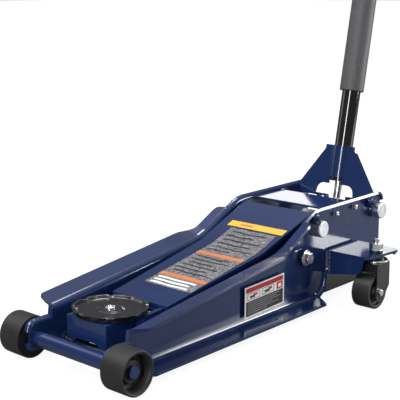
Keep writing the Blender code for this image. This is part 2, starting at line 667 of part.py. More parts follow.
def caster_wheel(side):
    """Wheel with a recessed web on both faces."""
    half = CASTER_W / 2
    hub = 0.004 + RUN
    profile = [(hub, half), (0.009, half), (0.010, half - 0.005), (0.019, half - 0.005), (0.021, half),
               (CASTER_R - 0.003, half), (CASTER_R, half - 0.003), (CASTER_R, 0.003 - half),
               (CASTER_R - 0.003, -half), (0.021, -half), (0.019, 0.005 - half), (0.010, 0.005 - half),
               (0.009, -half), (hub, -half)]
    place = Matrix.Translation((side * CASTER_X, CASTER_Y - CASTER_TRAIL, CASTER_R))
    return turned(profile, True, place @ TURN["X"], 24)


def caster_bolt(side):
    """Wheel bolt through both legs, with a head and a nut."""
    reach = CASTER_W / 2 + PLAY + 0.003 + GAP
    place = (CASTER_Y - CASTER_TRAIL, CASTER_R)
    x = side * CASTER_X
    bolt = rod("X", 0.004, x - reach - 0.004, x + reach + 0.004, place, 20)
    for way in (-1, 1):
        join(bolt, hexagon("X", 0.011, x + way * reach, x + way * (reach + 0.005), place))
    return bolt


def handle_yoke():
    """Pressed yoke: tapered front with a window, two cheeks on pivot bolts and a collar for the handle."""
    low = 0.012
    high = COLLAR_Z
    top_half = 0.033
    foot_half = SIDE_X - SIDE_T - PLAY
    shoulder = 0.030
    panel_y = 0.005 - TUBE_R
    lean = Matrix.Translation(YOKE_PIVOT) @ Matrix.Rotation(-HANDLE_LEAN, 4, "X")
    outline = rounded([(-foot_half, low, 0.006), (foot_half, low, 0.006), (foot_half, shoulder, 0.010),
                       (top_half, high - 0.008, 0.004), (top_half, high, 0.002), (-top_half, high, 0.002),
                       (-top_half, high - 0.008, 0.004), (-foot_half, shoulder, 0.010)])
    front = sheet("Y", panel_y, panel_y + 0.004, outline)
    window = rounded([(-0.046, 0.006, 0), (0.046, 0.006, 0), (0.041, 0.038, 0.015), (-0.041, 0.038, 0.015)])
    cut(front, sheet("Y", panel_y - 0.01, panel_y + 0.01, window))
    yoke = settle(front, lean)
    join(yoke, rod_along(HANDLE_DIRECTION, TUBE_R + 0.004, 0.052, high - 0.0007, sides=32))
    cheek_in = foot_half - 0.0052
    for side in (-1, 1):
        cheek = rounded([(panel_y + 0.0003, low - 0.004, 0.003), (-0.0145, -0.014, 0.010),
                         (0.014, -0.014, 0.010), (0.018, shoulder - 0.003, 0.008),
                         (panel_y + 0.0003, shoulder - 0.001, 0.004)])
        solid = sheet("X", side * cheek_in, side * (foot_half - 0.0002), cheek, [(0, 0, YOKE_BOLT_R + RUN)])
        solid.data.transform(lean)
        join(yoke, solid)
        root = TUBE_R + 0.002
        gusset = sheet("Y", 0.000, 0.004, [
            (side * root, 0.056), (side * root, high - 0.010), (side * (top_half - 0.001), high - 0.012),
            (side * (foot_half - 0.003), shoulder - 0.002), (side * (foot_half - 0.003), 0.017),
            (side * 0.052, 0.036)])
        gusset.data.transform(lean)
        join(yoke, gusset)
        bar = box((side * (PUMP_X - 0.0105), -0.006, YOKE_BOLT_R + 0.0008),
                  (side * (cheek_in + 0.001), 0.006, 0.0155))
        bar.data.transform(lean)
        join(yoke, bar)
        for inner, outer in ((PUMP_X - 0.011, PUMP_X - 0.007), (PUMP_X + 0.007, PUMP_X + 0.011)):
            lug = rounded([(roller_y() - 0.008, piston_z() - 0.008, 0.006),
                           (roller_y() + 0.008, piston_z() - 0.008, 0.006),
                           (YOKE_Y + 0.008, YOKE_Z + 0.014, 0), (YOKE_Y - 0.003, YOKE_Z + 0.014, 0)])
            join(yoke, sheet("X", side * inner, side * outer, lug, [(roller_y(), piston_z(), 0.004 + RUN)]))
    hollow = rod_along(HANDLE_DIRECTION, TUBE_R + RUN, 0.030, high + 0.01)
    return cut(yoke, hollow)


def pump_roller(side):
    """A roller on its pin, at a pump piston."""
    place = (roller_y(), piston_z())
    roller = rod("X", ROLLER_R, side * (PUMP_X - 0.0065), side * (PUMP_X + 0.0065), place, 20)
    return join(roller, rod("X", 0.004, side * (PUMP_X - 0.0125), side * (PUMP_X + 0.0125), place, 20))


def pump_piston(side):
    """Plain plunger that its roller pushes into the pump block."""
    head = roller_y() - ROLLER_R - PISTON_GAP
    return rod("Y", PISTON_R, head - 0.054, head, (side * PUMP_X, piston_z()), 20)


def release_valve():
    """Valve stem rising from the pump block to the ball of the handle's joint."""
    stem = rod_along(VALVE_DIRECTION, VALVE_R, 0.004, VALVE_DEPTH, sides=20)
    ball = bmesh.new()
    bmesh.ops.create_uvsphere(ball, u_segments=16, v_segments=8, radius=0.0085,
                              matrix=Matrix.Translation(YOKE_PIVOT))
    mesh = bpy.data.meshes.new("ball")
    ball.to_mesh(mesh)
    ball.free()
    return join(stem, mesh_object("ball", mesh))


def handle_pieces():
    """Everything that turns with the handle, along its own axis from the yoke's pivot."""
    lean = Matrix.Translation(YOKE_PIVOT) @ Matrix.Rotation(-HANDLE_LEAN, 4, "X")
    bore = TUBE_R - TUBE_WALL
    joint_at = (FOAM_END + GRIP_START) / 2
    lower = turned([(bore, joint_at), (TUBE_R, joint_at), (TUBE_R, 0.0445), (0.007, 0.0445), (0.007, 0.0475),
                    (bore, 0.0475)], True, lean, 24)
    upper = turned([(bore, HANDLE_END - 0.006), (TUBE_R, HANDLE_END - 0.006), (TUBE_R, joint_at + GAP),
                    (bore - GAP, joint_at + GAP), (bore - GAP, joint_at - 0.060),
                    (bore - 0.0018, joint_at - 0.060), (bore - 0.0018, joint_at + 0.004)], True, lean, 24)
    join(lower, rod_along(HANDLE_DIRECTION, 0.0075, 0.0095, 0.0470, sides=20))
    foam = turned([(TUBE_R + GAP, FOAM_END), (FOAM_R - 0.002, FOAM_END), (FOAM_R, FOAM_END - 0.002),
                   (FOAM_R, FOAM_START + 0.002), (FOAM_R - 0.002, FOAM_START), (TUBE_R + GAP, FOAM_START)],
                  True, lean, 24)
    grip = turned([(TUBE_R + GAP, HANDLE_END - 0.007), (FOAM_R - 0.004, HANDLE_END - 0.007),
                   (FOAM_R - 0.003, HANDLE_END - 0.010), (FOAM_R - 0.003, GRIP_START + 0.003),
                   (FOAM_R - 0.004, GRIP_START), (TUBE_R + GAP, GRIP_START)], True, lean, 24)
    cap = turned([(0, HANDLE_END), (CAP_R - 0.002, HANDLE_END), (CAP_R, HANDLE_END - 0.002),
                  (CAP_R, HANDLE_END - 0.0057), (bore - 0.0018 - GAP, HANDLE_END - 0.0057),
                  (bore - 0.0018 - GAP, HANDLE_END - 0.018), (0, HANDLE_END - 0.018)], False, lean, 24)
    return lower, upper, foam, grip, cap


def build_chassis():
    for side, name in ((-1, "left"), (1, "right")):
        node(f"side_plate_{name}", side_plate(side), PAINT, ROOT)
        node(f"caster_bracket_{name}", caster_bracket(side), PAINT, ROOT)
        node(f"caster_nut_{name}", caster_nut(side), ZINC, ROOT)
        bolt_x = ROD_X - ROD_T / 2
        head = SIDE_X + GAP
        place = (ROD_PIVOT_Y, ROD_PIVOT_Z)
        bolt = rod("X", ROD_BOLT_R, side * bolt_x, side * (head + 0.002), place, 20)
        join(bolt, rod("X", 0.0145, side * head, side * (head + 0.0025), place))
        join(bolt, hexagon("X", 0.019, side * (head + 0.002), side * (head + 0.011), place))
        node(f"tie_rod_bolt_{name}", bolt, ZINC, ROOT)
        pivot = rod("X", YOKE_BOLT_R, side * (SIDE_X - 0.017), side * (SIDE_X + 0.004), (YOKE_Y, YOKE_Z))
        join(pivot, rod("X", 0.016, side * (SIDE_X + GAP), side * (SIDE_X + 0.015), (YOKE_Y, YOKE_Z)))
        node(f"yoke_pivot_bolt_{name}", pivot, ZINC, ROOT)
        arm_lock = shaft_lock(side, ARM_PIVOT_Y, ARM_PIVOT_Z, ARM_PIVOT_R, 0.55)
        node(f"arm_shaft_lock_{name}", arm_lock, PAINT, ROOT)
        yoke_lock = shaft_lock(side, YOKE_Y, YOKE_Z, 0.016, 0.85)
        node(f"yoke_shaft_lock_{name}", yoke_lock, PAINT, ROOT)
    node("front_axle", front_axle(), PAINT, ROOT)
    node("top_cover", top_cover(), PAINT, ROOT)
    shaft_end = SIDE_X + 0.009
    shaft = rod("X", ARM_PIVOT_R, -shaft_end, shaft_end, (ARM_PIVOT_Y, ARM_PIVOT_Z), 36)
    node("arm_pivot_shaft", shaft, ZINC, ROOT)
    tank = box((-TANK_X, STEP_Y + 0.026, 0.011), (TANK_X, UNIT_REAR_Y + 0.004, TANK_Z), 0.006)
    node("oil_tank", tank, TANK, ROOT)
    node("pump_block", power_unit(), TANK, ROOT)
    cylinder = ring("Y", 0.0205, RAM_R + RUN, CYLINDER_Y, BLOCK_Y - GAP, (0, RAM_Z))
    node("ram_cylinder", cylinder, TANK, ROOT)
    plug = hexagon("Z", 0.014, 0.136 + GAP, 0.143, (0.040, 0.660))
    node("filler_plug", plug, ZINC, ROOT)
    inside = SIDE_X - SIDE_T - GAP
    brace = box((-inside, UNIT_REAR_Y + 0.010, 0.062), (inside, UNIT_REAR_Y + 0.014, 0.094))
    node("rear_brace", brace, PAINT, ROOT)
    belly = box((-inside, 0.330, 0.018), (inside, 0.370, 0.023))
    node("belly_brace", belly, PAINT, ROOT)


def build_wheels():
    for side, name in ((-1, "left"), (1, "right")):
        wheel_body = body(f"front_wheel_body_{name}", (side * WHEEL_X, 0, WHEEL_R))
        node(f"front_wheel_{name}", front_wheel(side), NYLON, wheel_body)
        fork_body = body(f"caster_swivel_{name}", (side * CASTER_X, CASTER_Y, FORK_TOP_Z))
        node(f"caster_fork_{name}", caster_fork(side), CASTING, fork_body)
        node(f"caster_bolt_{name}", caster_bolt(side), ZINC, fork_body)
        hub_body = body(f"caster_wheel_body_{name}", (side * CASTER_X, CASTER_Y - CASTER_TRAIL, CASTER_R))
        node(f"caster_wheel_{name}", caster_wheel(side), NYLON, hub_body)


def build_arm():
    arm_body = body("arm_body", (0, ARM_PIVOT_Y, ARM_PIVOT_Z))
    node("lift_arm", lift_arm(), PAINT, arm_body)
    pin = ram_pin_place()
    node("ram_pin", rod("X", RAM_PIN_R, -0.033, 0.033, pin, 24), STEEL, arm_body)
    node("arm_front_pin", rod("X", ARM_PIN_R, -0.060, 0.060, (ARM_TIP_Y, ARM_TIP_Z), 20), STEEL, arm_body)
    block_body = body("saddle_block_body", (0, ARM_TIP_Y, ARM_TIP_Z))
    node("saddle_block", saddle_block(), PAINT, block_body)
    tip_y = ROD_PIVOT_Y + ARM_TIP_Y - ARM_PIVOT_Y
    tip_z = ROD_PIVOT_Z + ARM_TIP_Z - ARM_PIVOT_Z
    end = ROD_X + ROD_T / 2
    cross_bolt = rod("X", ROD_BOLT_R, -end - 0.001, end + 0.001, (tip_y, tip_z), 20)
    node("block_cross_bolt", cross_bolt, ZINC, block_body)
    saddle_body = body("saddle_body", (0, SADDLE_Y, BLOCK_TOP_Z))
    node("saddle", saddle(), CASTING, saddle_body)
    for side, name in ((-1, "left"), (1, "right")):
        rod_body = body(f"tie_rod_body_{name}", (side * ROD_X, ROD_PIVOT_Y, ROD_PIVOT_Z))
        node(f"tie_rod_{name}", tie_rod(side), PAINT, rod_body)


def build_ram():
    ram_body = body("ram_body", (0, ram_pin_place().x, RAM_Z))
    node("ram_crosshead", crosshead(), STEEL, ram_body)
    node("ram", ram(), STEEL, ram_body)
    start = ram_pin_place().x + 0.0305 + GAP
    for side, name in ((-1, "left"), (1, "right")):
        spring = rod("Y", 0.006, start, UNIT_REAR_Y - 0.012, (side * 0.068, 0.071), 16)
        node(f"return_spring_{name}", spring, ZINC, ROOT)
        anchor = box((side * (0.058 + GAP), UNIT_REAR_Y - 0.0117, 0.062),
                     (side * 0.076, UNIT_REAR_Y - 0.006, 0.080))
        node(f"spring_anchor_{name}", anchor, ZINC, ROOT)


def build_handle():
    yoke_body = body("yoke_body", YOKE_PIVOT)
    node("handle_yoke", handle_yoke(), PAINT, yoke_body)
    for side, name in ((-1, "left"), (1, "right")):
        node(f"pump_roller_{name}", pump_roller(side), STEEL, yoke_body)
        piston_body = body(f"pump_piston_body_{name}", (side * PUMP_X, roller_y(), piston_z()))
        node(f"pump_piston_{name}", pump_piston(side), STEEL, piston_body)
    valve_body = body("release_valve_body", YOKE_PIVOT)
    node("release_valve", release_valve(), STEEL, valve_body)
    handle_body = body("handle_body", YOKE_PIVOT)
    names = ("handle_lower_tube", "handle_upper_tube", "foam_sleeve", "hand_grip", "handle_cap")
    looks = (TUBE, TUBE, FOAM, RUBBER, RUBBER)
    for name, solid, look in zip(names, handle_pieces(), looks):
        node(name, solid, look, handle_body)


clear_scene()
JACK = new_collection("Trolley jack")
CUTTERS = new_collection("Cutters")
ROOT = empty("jack_frame", (0, ROOT_SHIFT, 0))
build_chassis()
build_wheels()
build_arm()
build_ram()
build_handle()
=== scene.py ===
"""Finishes and detail for a low trolley jack, built over its fixed frame."""

import math

import bpy
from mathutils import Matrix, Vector


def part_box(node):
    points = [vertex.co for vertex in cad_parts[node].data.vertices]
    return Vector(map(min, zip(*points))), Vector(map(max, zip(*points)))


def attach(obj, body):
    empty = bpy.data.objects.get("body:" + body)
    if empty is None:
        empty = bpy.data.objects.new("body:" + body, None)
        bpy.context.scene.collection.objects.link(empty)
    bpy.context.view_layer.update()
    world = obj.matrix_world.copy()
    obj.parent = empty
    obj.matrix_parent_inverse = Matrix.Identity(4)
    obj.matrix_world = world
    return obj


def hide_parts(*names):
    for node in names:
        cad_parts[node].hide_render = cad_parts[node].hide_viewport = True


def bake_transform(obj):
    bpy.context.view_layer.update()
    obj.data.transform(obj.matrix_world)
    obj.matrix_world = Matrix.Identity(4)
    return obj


bl_info = {
    "name": "Trolley jack",
    "version": (1, 0, 0),
    "blender": (4, 5, 0),
    "location": "3D View > Sidebar > Jack",
    "description": "Models the surface detail, decals and finishes of a low trolley jack",
    "category": "Add Mesh",
}

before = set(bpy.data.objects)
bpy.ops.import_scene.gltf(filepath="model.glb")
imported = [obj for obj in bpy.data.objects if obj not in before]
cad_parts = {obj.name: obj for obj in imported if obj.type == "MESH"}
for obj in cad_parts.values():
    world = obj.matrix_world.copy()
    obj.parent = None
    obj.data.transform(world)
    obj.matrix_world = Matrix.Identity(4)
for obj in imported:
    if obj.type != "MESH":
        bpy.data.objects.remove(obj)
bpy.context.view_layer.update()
LEFT_RIGHT = (("left", -1), ("right", 1))


# ---- places taken from the frame -----------------------------------------------------------------------
def low(node):
    """Lowest corner of a frame node's box."""
    return Vector(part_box(node)[0])


def high(node):
    """Highest corner of a frame node's box."""
    return Vector(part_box(node)[1])


def middle(node):
    """Centre of a frame node's box."""
    return (low(node) + high(node)) / 2


def radius_of(node):
    """Radius of a wheel on a cross axle."""
    return (high(node).z - low(node).z) / 2


def width_of(node):
    """Size of a frame node from left to right."""
    return high(node).x - low(node).x


AXLE = middle("front_axle")
SIDE_T = 0.005                             # wall of a side plate
SIDE_X = high("top_cover").x + SIDE_T + 0.0003  # outer face of a side plate
HANDLE_LEAN = math.radians(12)
ALONG_HANDLE = Vector((0, math.sin(HANDLE_LEAN), math.cos(HANDLE_LEAN)))


def at(x, y, z):
    """A point from its distance right of the middle, behind the front axle and above the floor."""
    return Vector((x, AXLE.y + y, z))


def blend_value(points, y):
    """Linear value at y along (y, value) points."""
    if y <= points[0][0]:
        return points[0][1]
    for (y0, v0), (y1, v1) in zip(points, points[1:]):
        if y <= y1:
            return v0 + (v1 - v0) * (y - y0) / (y1 - y0) if y1 > y0 else v1
    return points[-1][1]


# ---- mesh helpers --------------------------------------------------------------------------------------
def only(*objects):
    """Selects these objects and nothing else; the first is the active one."""
    bpy.ops.object.select_all(action="DESELECT")
    for obj in objects:
        obj.select_set(True)
    bpy.context.view_layer.objects.active = objects[0]
    return objects[0]


def settle():
    """Writes the active object's place into its mesh and returns the object."""
    bpy.ops.object.transform_apply(location=True, rotation=True, scale=True)
    return bpy.context.view_layer.objects.active


def apply_modifiers(obj):
    """Turns every modifier of a piece into mesh."""
    only(obj)
    for modifier in list(obj.modifiers):
        bpy.ops.object.modifier_apply(modifier=modifier.name)


def soften(obj, width, segments=2, angle=30):
    """Rounds the sharp edges of a piece."""
    bevel = obj.modifiers.new("Rounded edges", "BEVEL")
    bevel.width = width
    bevel.segments = segments
    bevel.limit_method = "ANGLE"
    bevel.angle_limit = math.radians(angle)
    apply_modifiers(obj)
    return obj


def merge(name, pieces):
    """Joins pieces into one mesh."""
    only(*pieces)
    if len(pieces) > 1:
        bpy.ops.object.join()
    obj = bpy.context.view_layer.objects.active
    obj.name = name
    return obj


def piece(obj, name, body, materials, replaces=(), angle=32):
    """Names a finished mesh, gives it its finish and hands it to its body."""
    only(obj)
    obj.name = name
    obj.data.name = name
    if materials:
        obj.data.materials.clear()
        for finish in materials:
            obj.data.materials.append(finish)
    bpy.ops.object.shade_smooth_by_angle(angle=math.radians(angle))
    flats = obj.modifiers.new("Flat faces", "WEIGHTED_NORMAL")
    flats.keep_sharp = True
    apply_modifiers(obj)
    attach(obj, body)
    if replaces:
        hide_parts(*replaces)
    return obj


AXES = {"X": (0, math.pi / 2, 0), "-X": (0, -math.pi / 2, 0), "Z": (0, 0, 0)}


def turn_to(axis):
    """Euler angles that turn upright onto an axis, given by letter or as a direction."""
    if isinstance(axis, str):
        return AXES[axis]
    return Vector((0, 0, 1)).rotation_difference(axis).to_euler()


def push(obj, normal, steps):
    """Shapes the end face that points along a normal by (inset, depth) steps."""
    normal = Vector(normal).normalized()
    only(obj)
    reach = max(vertex.co.dot(normal) for vertex in obj.data.vertices)
    for polygon in obj.data.polygons:
        polygon.select = polygon.normal.dot(normal) > 0.999 and abs(polygon.center.dot(normal) - reach) < 1e-5
    for edge in obj.data.edges:
        edge.select = False
    for vertex in obj.data.vertices:
        vertex.select = False
    for polygon in obj.data.polygons:
        if polygon.select:
            for index in polygon.vertices:
                obj.data.vertices[index].select = True
    bpy.ops.object.mode_set(mode="EDIT")
    bpy.ops.mesh.select_mode(type="FACE")
    for inset, depth in steps:
        if inset:
            bpy.ops.mesh.inset(thickness=inset, depth=depth)
        else:
            bpy.ops.mesh.extrude_region_move(TRANSFORM_OT_translate={"value": normal * depth})
    bpy.ops.object.mode_set(mode="OBJECT")
    return obj


def cylinder(axis, radius, length, centre, vertices=64):
    """A cylinder along an axis, with its place in its mesh."""
    bpy.ops.object.select_all(action="DESELECT")
    bpy.ops.mesh.primitive_cylinder_add(vertices=vertices, radius=radius, depth=length, location=centre,
                                        rotation=turn_to(axis))
    return settle()


def torus(axis, radius, wire, centre, major=64, minor=12):
    """A ring of round wire about an axis."""
    bpy.ops.object.select_all(action="DESELECT")
    bpy.ops.mesh.primitive_torus_add(major_radius=radius, minor_radius=wire, major_segments=major,
                                     minor_segments=minor, location=centre, rotation=turn_to(axis))
    return settle()


def refined(node, width, segments=2, angle=28):
    """A welded copy of a frame node with its flat faces merged and its edges rounded."""
    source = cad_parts[node]
    obj = bpy.data.objects.new(node + "_detail", source.data.copy())
    bpy.context.scene.collection.objects.link(obj)
    obj.data.transform(source.matrix_world)
    obj.data.materials.clear()
    only(obj)
    bpy.ops.object.mode_set(mode="EDIT")
    bpy.ops.mesh.select_all(action="SELECT")
    bpy.ops.mesh.remove_doubles(threshold=0.00001)
    bpy.ops.mesh.dissolve_limited(angle_limit=math.radians(1.0))
    bpy.ops.object.mode_set(mode="OBJECT")
    if width:
        soften(obj, width, segments, angle)
    return obj


def bead(name, start, end, radius):
    """A painted weld bead: overlapping drops of uneven size from start to end."""
    start, end = Vector(start), Vector(end)
    count = max(3, int((end - start).length / (radius * 0.9)))
    drops = []
    for index in range(count + 1):
        bpy.ops.object.select_all(action="DESELECT")
        size = radius * (1.0 + 0.12 * math.sin(index * 2.1))
        bpy.ops.mesh.primitive_uv_sphere_add(segments=12, ring_count=8, radius=size,
                                             location=start.lerp(end, index / count))
        drops.append(settle())
    return piece(merge(name, drops), name, "chassis", [FINISH["weld"]], angle=60)


# ---- finishes ------------------------------------------------------------------------------------------
def surface(name, colour, other, patch, rough, metal=0.0, coat=0.0, grain=(400.0, 0.05, 0.0002),
            streak=(1.0, 1.0, 1.0), cells=False):
    """A material whose colour and roughness drift together in patches of a given fineness.

    grain is the fine relief's (scale, strength, depth), from cells or from noise; streak scales the pattern.
    """
    made = bpy.data.materials.new(name)
    made.use_nodes = True
    nodes, links = made.node_tree.nodes, made.node_tree.links
    shader = nodes["Principled BSDF"]
    shader.inputs["Metallic"].default_value = metal
    shader.inputs["Coat Weight"].default_value = coat
    shader.inputs["Coat Roughness"].default_value = 0.06
    place = nodes.new("ShaderNodeTexCoord")
    mapping = nodes.new("ShaderNodeMapping")
    mapping.inputs["Scale"].default_value = streak
    links.new(place.outputs["Object"], mapping.inputs["Vector"])
    drift = nodes.new("ShaderNodeTexNoise")
    drift.inputs["Scale"].default_value = patch
    drift.inputs["Detail"].default_value = 5.0
    drift.inputs["Roughness"].default_value = 0.6
    links.new(mapping.outputs["Vector"], drift.inputs["Vector"])
    tint = nodes.new("ShaderNodeValToRGB")
    tint.color_ramp.elements[0].position = 0.35
    tint.color_ramp.elements[0].color = (*colour, 1)
    tint.color_ramp.elements[1].position = 0.68
    tint.color_ramp.elements[1].color = (*other, 1)
    links.new(drift.outputs["Fac"], tint.inputs["Fac"])
    links.new(tint.outputs["Color"], shader.inputs["Base Color"])
    gloss = nodes.new("ShaderNodeMapRange")
    gloss.inputs["To Min"].default_value = rough[0]
    gloss.inputs["To Max"].default_value = rough[1]
    links.new(drift.outputs["Fac"], gloss.inputs["Value"])
    links.new(gloss.outputs["Result"], shader.inputs["Roughness"])
    fine = nodes.new("ShaderNodeTexVoronoi" if cells else "ShaderNodeTexNoise")
    fine.inputs["Scale"].default_value = grain[0]
    links.new(mapping.outputs["Vector"], fine.inputs["Vector"])
    relief = nodes.new("ShaderNodeBump")
    relief.inputs["Strength"].default_value = grain[1]
    relief.inputs["Distance"].default_value = grain[2]
    links.new(fine.outputs["Distance" if cells else "Fac"], relief.inputs["Height"])
    links.new(relief.outputs["Normal"], shader.inputs["Normal"])
    return made


def speckled(name, dark, light, scale):
    """A printed field of fine light and dark specks."""
    made = surface(name, dark, light, patch=scale, rough=(0.35, 0.5), grain=(900.0, 0.05, 0.0001))
    tint = next(node for node in made.node_tree.nodes if node.type == "VALTORGB")
    tint.color_ramp.elements[0].position = 0.47
    tint.color_ramp.elements[1].position = 0.55
    return made


def tinted(colour, factor):
    """A colour made lighter or darker by a factor."""
    return tuple(min(1.0, channel * factor) for channel in colour)


FINISH = {}


def make_finishes(colours):
    """Every finish of the jack, under a short name."""
    paint, black, nylon, zinc, foam, yellow, orange = (
        tuple(colour) for colour in (colours.paint, colours.gloss_black, colours.nylon, colours.zinc,
                                     colours.foam, colours.yellow, colours.orange))
    gloss_print = (0.3, 0.42)
    FINISH["paint"] = surface("navy enamel", tinted(paint, 0.85), tinted(paint, 1.2), 5.0, (0.11, 0.19),
                              coat=0.3, grain=(260.0, 0.06, 0.0003))
    FINISH["weld"] = surface("painted weld", tinted(paint, 0.7), tinted(paint, 1.1), 90.0, (0.2, 0.4),
                             coat=0.6, grain=(500.0, 0.3, 0.0006))
    FINISH["casting"] = surface("gloss black casting", black, tinted(black, 1.8), 12.0, (0.16, 0.28),
                                coat=0.5, grain=(180.0, 0.14, 0.0006))
    FINISH["fork"] = surface("satin black pressing", black, tinted(black, 2.0), 20.0, (0.22, 0.36),
                             coat=0.4, grain=(350.0, 0.12, 0.0004))
    FINISH["tube"] = surface("gloss black tube", black, tinted(black, 1.4), 8.0, (0.05, 0.12),
                             coat=1.0, grain=(120.0, 0.03, 0.0003))
    FINISH["satin"] = surface("satin black paint", black, tinted(black, 1.7), 15.0, (0.35, 0.5),
                              grain=(300.0, 0.15, 0.0004))
    FINISH["nylon"] = surface("grey nylon", tinted(nylon, 0.8), tinted(nylon, 1.25), 35.0, (0.42, 0.58),
                              grain=(700.0, 0.25, 0.0004))
    FINISH["zinc"] = surface("bright zinc plate", tinted(zinc, 0.82), tinted(zinc, 1.12), 60.0,
                             (0.16, 0.34), metal=1.0, grain=(500.0, 0.12, 0.0003))
    FINISH["turned"] = surface("turned steel", zinc, tinted(zinc, 1.2), 40.0, (0.22, 0.38), metal=1.0,
                               grain=(900.0, 0.2, 0.0003), streak=(0.1, 1.0, 1.0))
    FINISH["ground"] = surface("ground steel", tinted(zinc, 0.7), tinted(zinc, 0.95), 50.0, (0.14, 0.26),
                               metal=1.0, grain=(900.0, 0.15, 0.0002), streak=(1.0, 0.05, 1.0))
    FINISH["foam"] = surface("closed cell foam", tinted(foam, 0.85), tinted(foam, 1.15), 240.0,
                             (0.50, 0.60), grain=(1500.0, 0.25, 0.0003), cells=True)
    FINISH["rubber"] = surface("moulded rubber", (0.012, 0.012, 0.013), (0.024, 0.024, 0.025), 60.0,
                               (0.55, 0.72), grain=(600.0, 0.3, 0.0004))
    FINISH["field"] = speckled("speckled print", tuple(colours.print_dark), tuple(colours.print_light),
                               420.0)
    FINISH["white"] = surface("white print", (0.72, 0.72, 0.70), (0.84, 0.84, 0.83), 80.0, gloss_print)
    FINISH["black print"] = surface("black print", (0.012, 0.012, 0.014), (0.022, 0.022, 0.024), 80.0,
                                    gloss_print)
    FINISH["red"] = surface("red print", (0.36, 0.006, 0.012), (0.44, 0.010, 0.016), 80.0, gloss_print)
    FINISH["yellow"] = surface("yellow print", tinted(yellow, 0.9), yellow, 60.0, gloss_print)
    FINISH["orange"] = surface("orange print", tinted(orange, 0.88), orange, 60.0, gloss_print)
    FINISH["grey print"] = surface("grey print", (0.28, 0.28, 0.29), (0.36, 0.36, 0.37), 80.0, gloss_print)


# ---- settings ------------------------------------------------------------------------------------------
class JackSizes(bpy.types.PropertyGroup):
    """Sizes of the jack's surface detail."""
    plate_round: bpy.props.FloatProperty(
        name="Plate rounding", description="Rounding of pressed plate edges", default=0.0012, min=0.0,
        unit="LENGTH")
    bend_radius: bpy.props.FloatProperty(
        name="Bend radius", description="Outer radius of a side plate's bends", default=0.008, min=0.001,
        unit="LENGTH")
    flange_rise: bpy.props.FloatProperty(
        name="Flange rise", description="Rise of the top flange, outward", default=0.22)
    weld: bpy.props.FloatProperty(
        name="Weld size", description="Radius of a weld bead", default=0.0028, min=0.0005, unit="LENGTH")
    bulge: bpy.props.FloatProperty(
        name="Side bulge", description="Height of the round pressing in a side plate", default=0.0032,
        min=0.0, unit="LENGTH")
    wire: bpy.props.FloatProperty(
        name="Spring wire", description="Wire diameter of a return spring", default=0.0018, min=0.0005,
        unit="LENGTH")
    turns: bpy.props.IntProperty(
        name="Spring turns", description="Turns of a return spring", default=20, min=4)


def colour_property(name, description, default):
    """A colour setting of the sidebar."""
    return bpy.props.FloatVectorProperty(name=name, description=description, default=default, size=3,
                                         min=0.0, max=1.0, subtype="COLOR")


class JackColours(bpy.types.PropertyGroup):
    """Colours of the jack's finishes."""
    paint: colour_property("Paint", "Enamel on the pressed steel", (0.007, 0.021, 0.085))
    gloss_black: colour_property("Gloss black", "Saddle, casters and handle tube", (0.005, 0.005, 0.006))
    nylon: colour_property("Nylon", "Wheels", (0.011, 0.011, 0.012))
    zinc: colour_property("Zinc", "Plated bolts and pins", (0.74, 0.76, 0.78))
    foam: colour_property("Foam", "Sleeve on the handle", (0.075, 0.075, 0.079))
    print_dark: colour_property("Print dark", "Darker speck of the arm's label", (0.03, 0.03, 0.035))
    print_light: colour_property("Print light", "Lighter speck of the arm's label", (0.30, 0.30, 0.32))
    yellow: colour_property("Yellow", "Upper band of the arm's label", (0.80, 0.48, 0.05))
    orange: colour_property("Orange", "Lower bands of the arm's label", (0.62, 0.20, 0.06))
    floor: colour_property("Floor", "Floor under the jack", (0.17, 0.17, 0.17))


class JACK_OT_finishes(bpy.types.Operator):
    """Mix the paints, metals, plastics and prints"""
    bl_idname = "jack.finishes"
    bl_label = "Finishes"

    def execute(self, context):
        make_finishes(context.scene.jack_colours)
        return {"FINISHED"}


# ---- pieces --------------------------------------------------------------------------------------------
# Outlines of a side plate: (distance behind the front axle, height or width), front to rear.
PLATE_TOP = ((-0.017, 0.050), (-0.0145, 0.0565), (-0.010, 0.060), (-0.003, 0.062), (0.0325, 0.062),
             (0.0335, 0.079), (0.380, 0.1198), (0.404, 0.1245), (0.425, 0.1315), (0.490, 0.1645),
             (0.508, 0.1730), (0.520, 0.1777), (0.535, 0.1798), (0.738, 0.1800), (0.746, 0.1775),
             (0.7505, 0.1725), (0.752, 0.166))
PLATE_FOOT = ((-0.017, 0.030), (-0.0145, 0.0225), (-0.010, 0.0190), (-0.004, 0.0175), (0.5345, 0.0175),
              (0.5375, 0.0187), (0.5500, 0.0265), (0.5550, 0.0320), (0.5580, 0.0400), (0.5615, 0.0600),
              (0.742, 0.060), (0.7490, 0.0630), (0.752, 0.070))
FLANGE = ((0.0335, 0.0006), (0.0360, 0.014), (0.0405, 0.030), (0.046, 0.0335), (0.378, 0.0335),
          (0.386, 0.0325), (0.405, 0.024), (0.414, 0.0195), (0.424, 0.018), (0.472, 0.018), (0.480, 0.0165),
          (0.485, 0.012), (0.488, 0.005), (0.490, 0.0006))
FOOT = ((0.0445, 0.0006), (0.0465, 0.0300), (0.052, 0.0345), (0.5095, 0.0345), (0.5325, 0.0045),
        (0.5335, 0.0006))


def stations():
    """Places along the plate: every 8 mm, and each place where an outline changes."""
    marks = {round(-0.017 + 0.008 * step, 4) for step in range(97)}
    for outline in (PLATE_TOP, PLATE_FOOT, FLANGE, FOOT):
        marks |= {y for y, _ in outline}
    marks = sorted(mark for mark in marks if mark <= 0.752)
    kept = [marks[0]]
    for mark in marks[1:]:
        if mark - kept[-1] > 0.0009:
            kept.append(mark)
    return kept


PRESSING = (0.506, 0.056, 0.046)           # round pressing: distance, height and radius


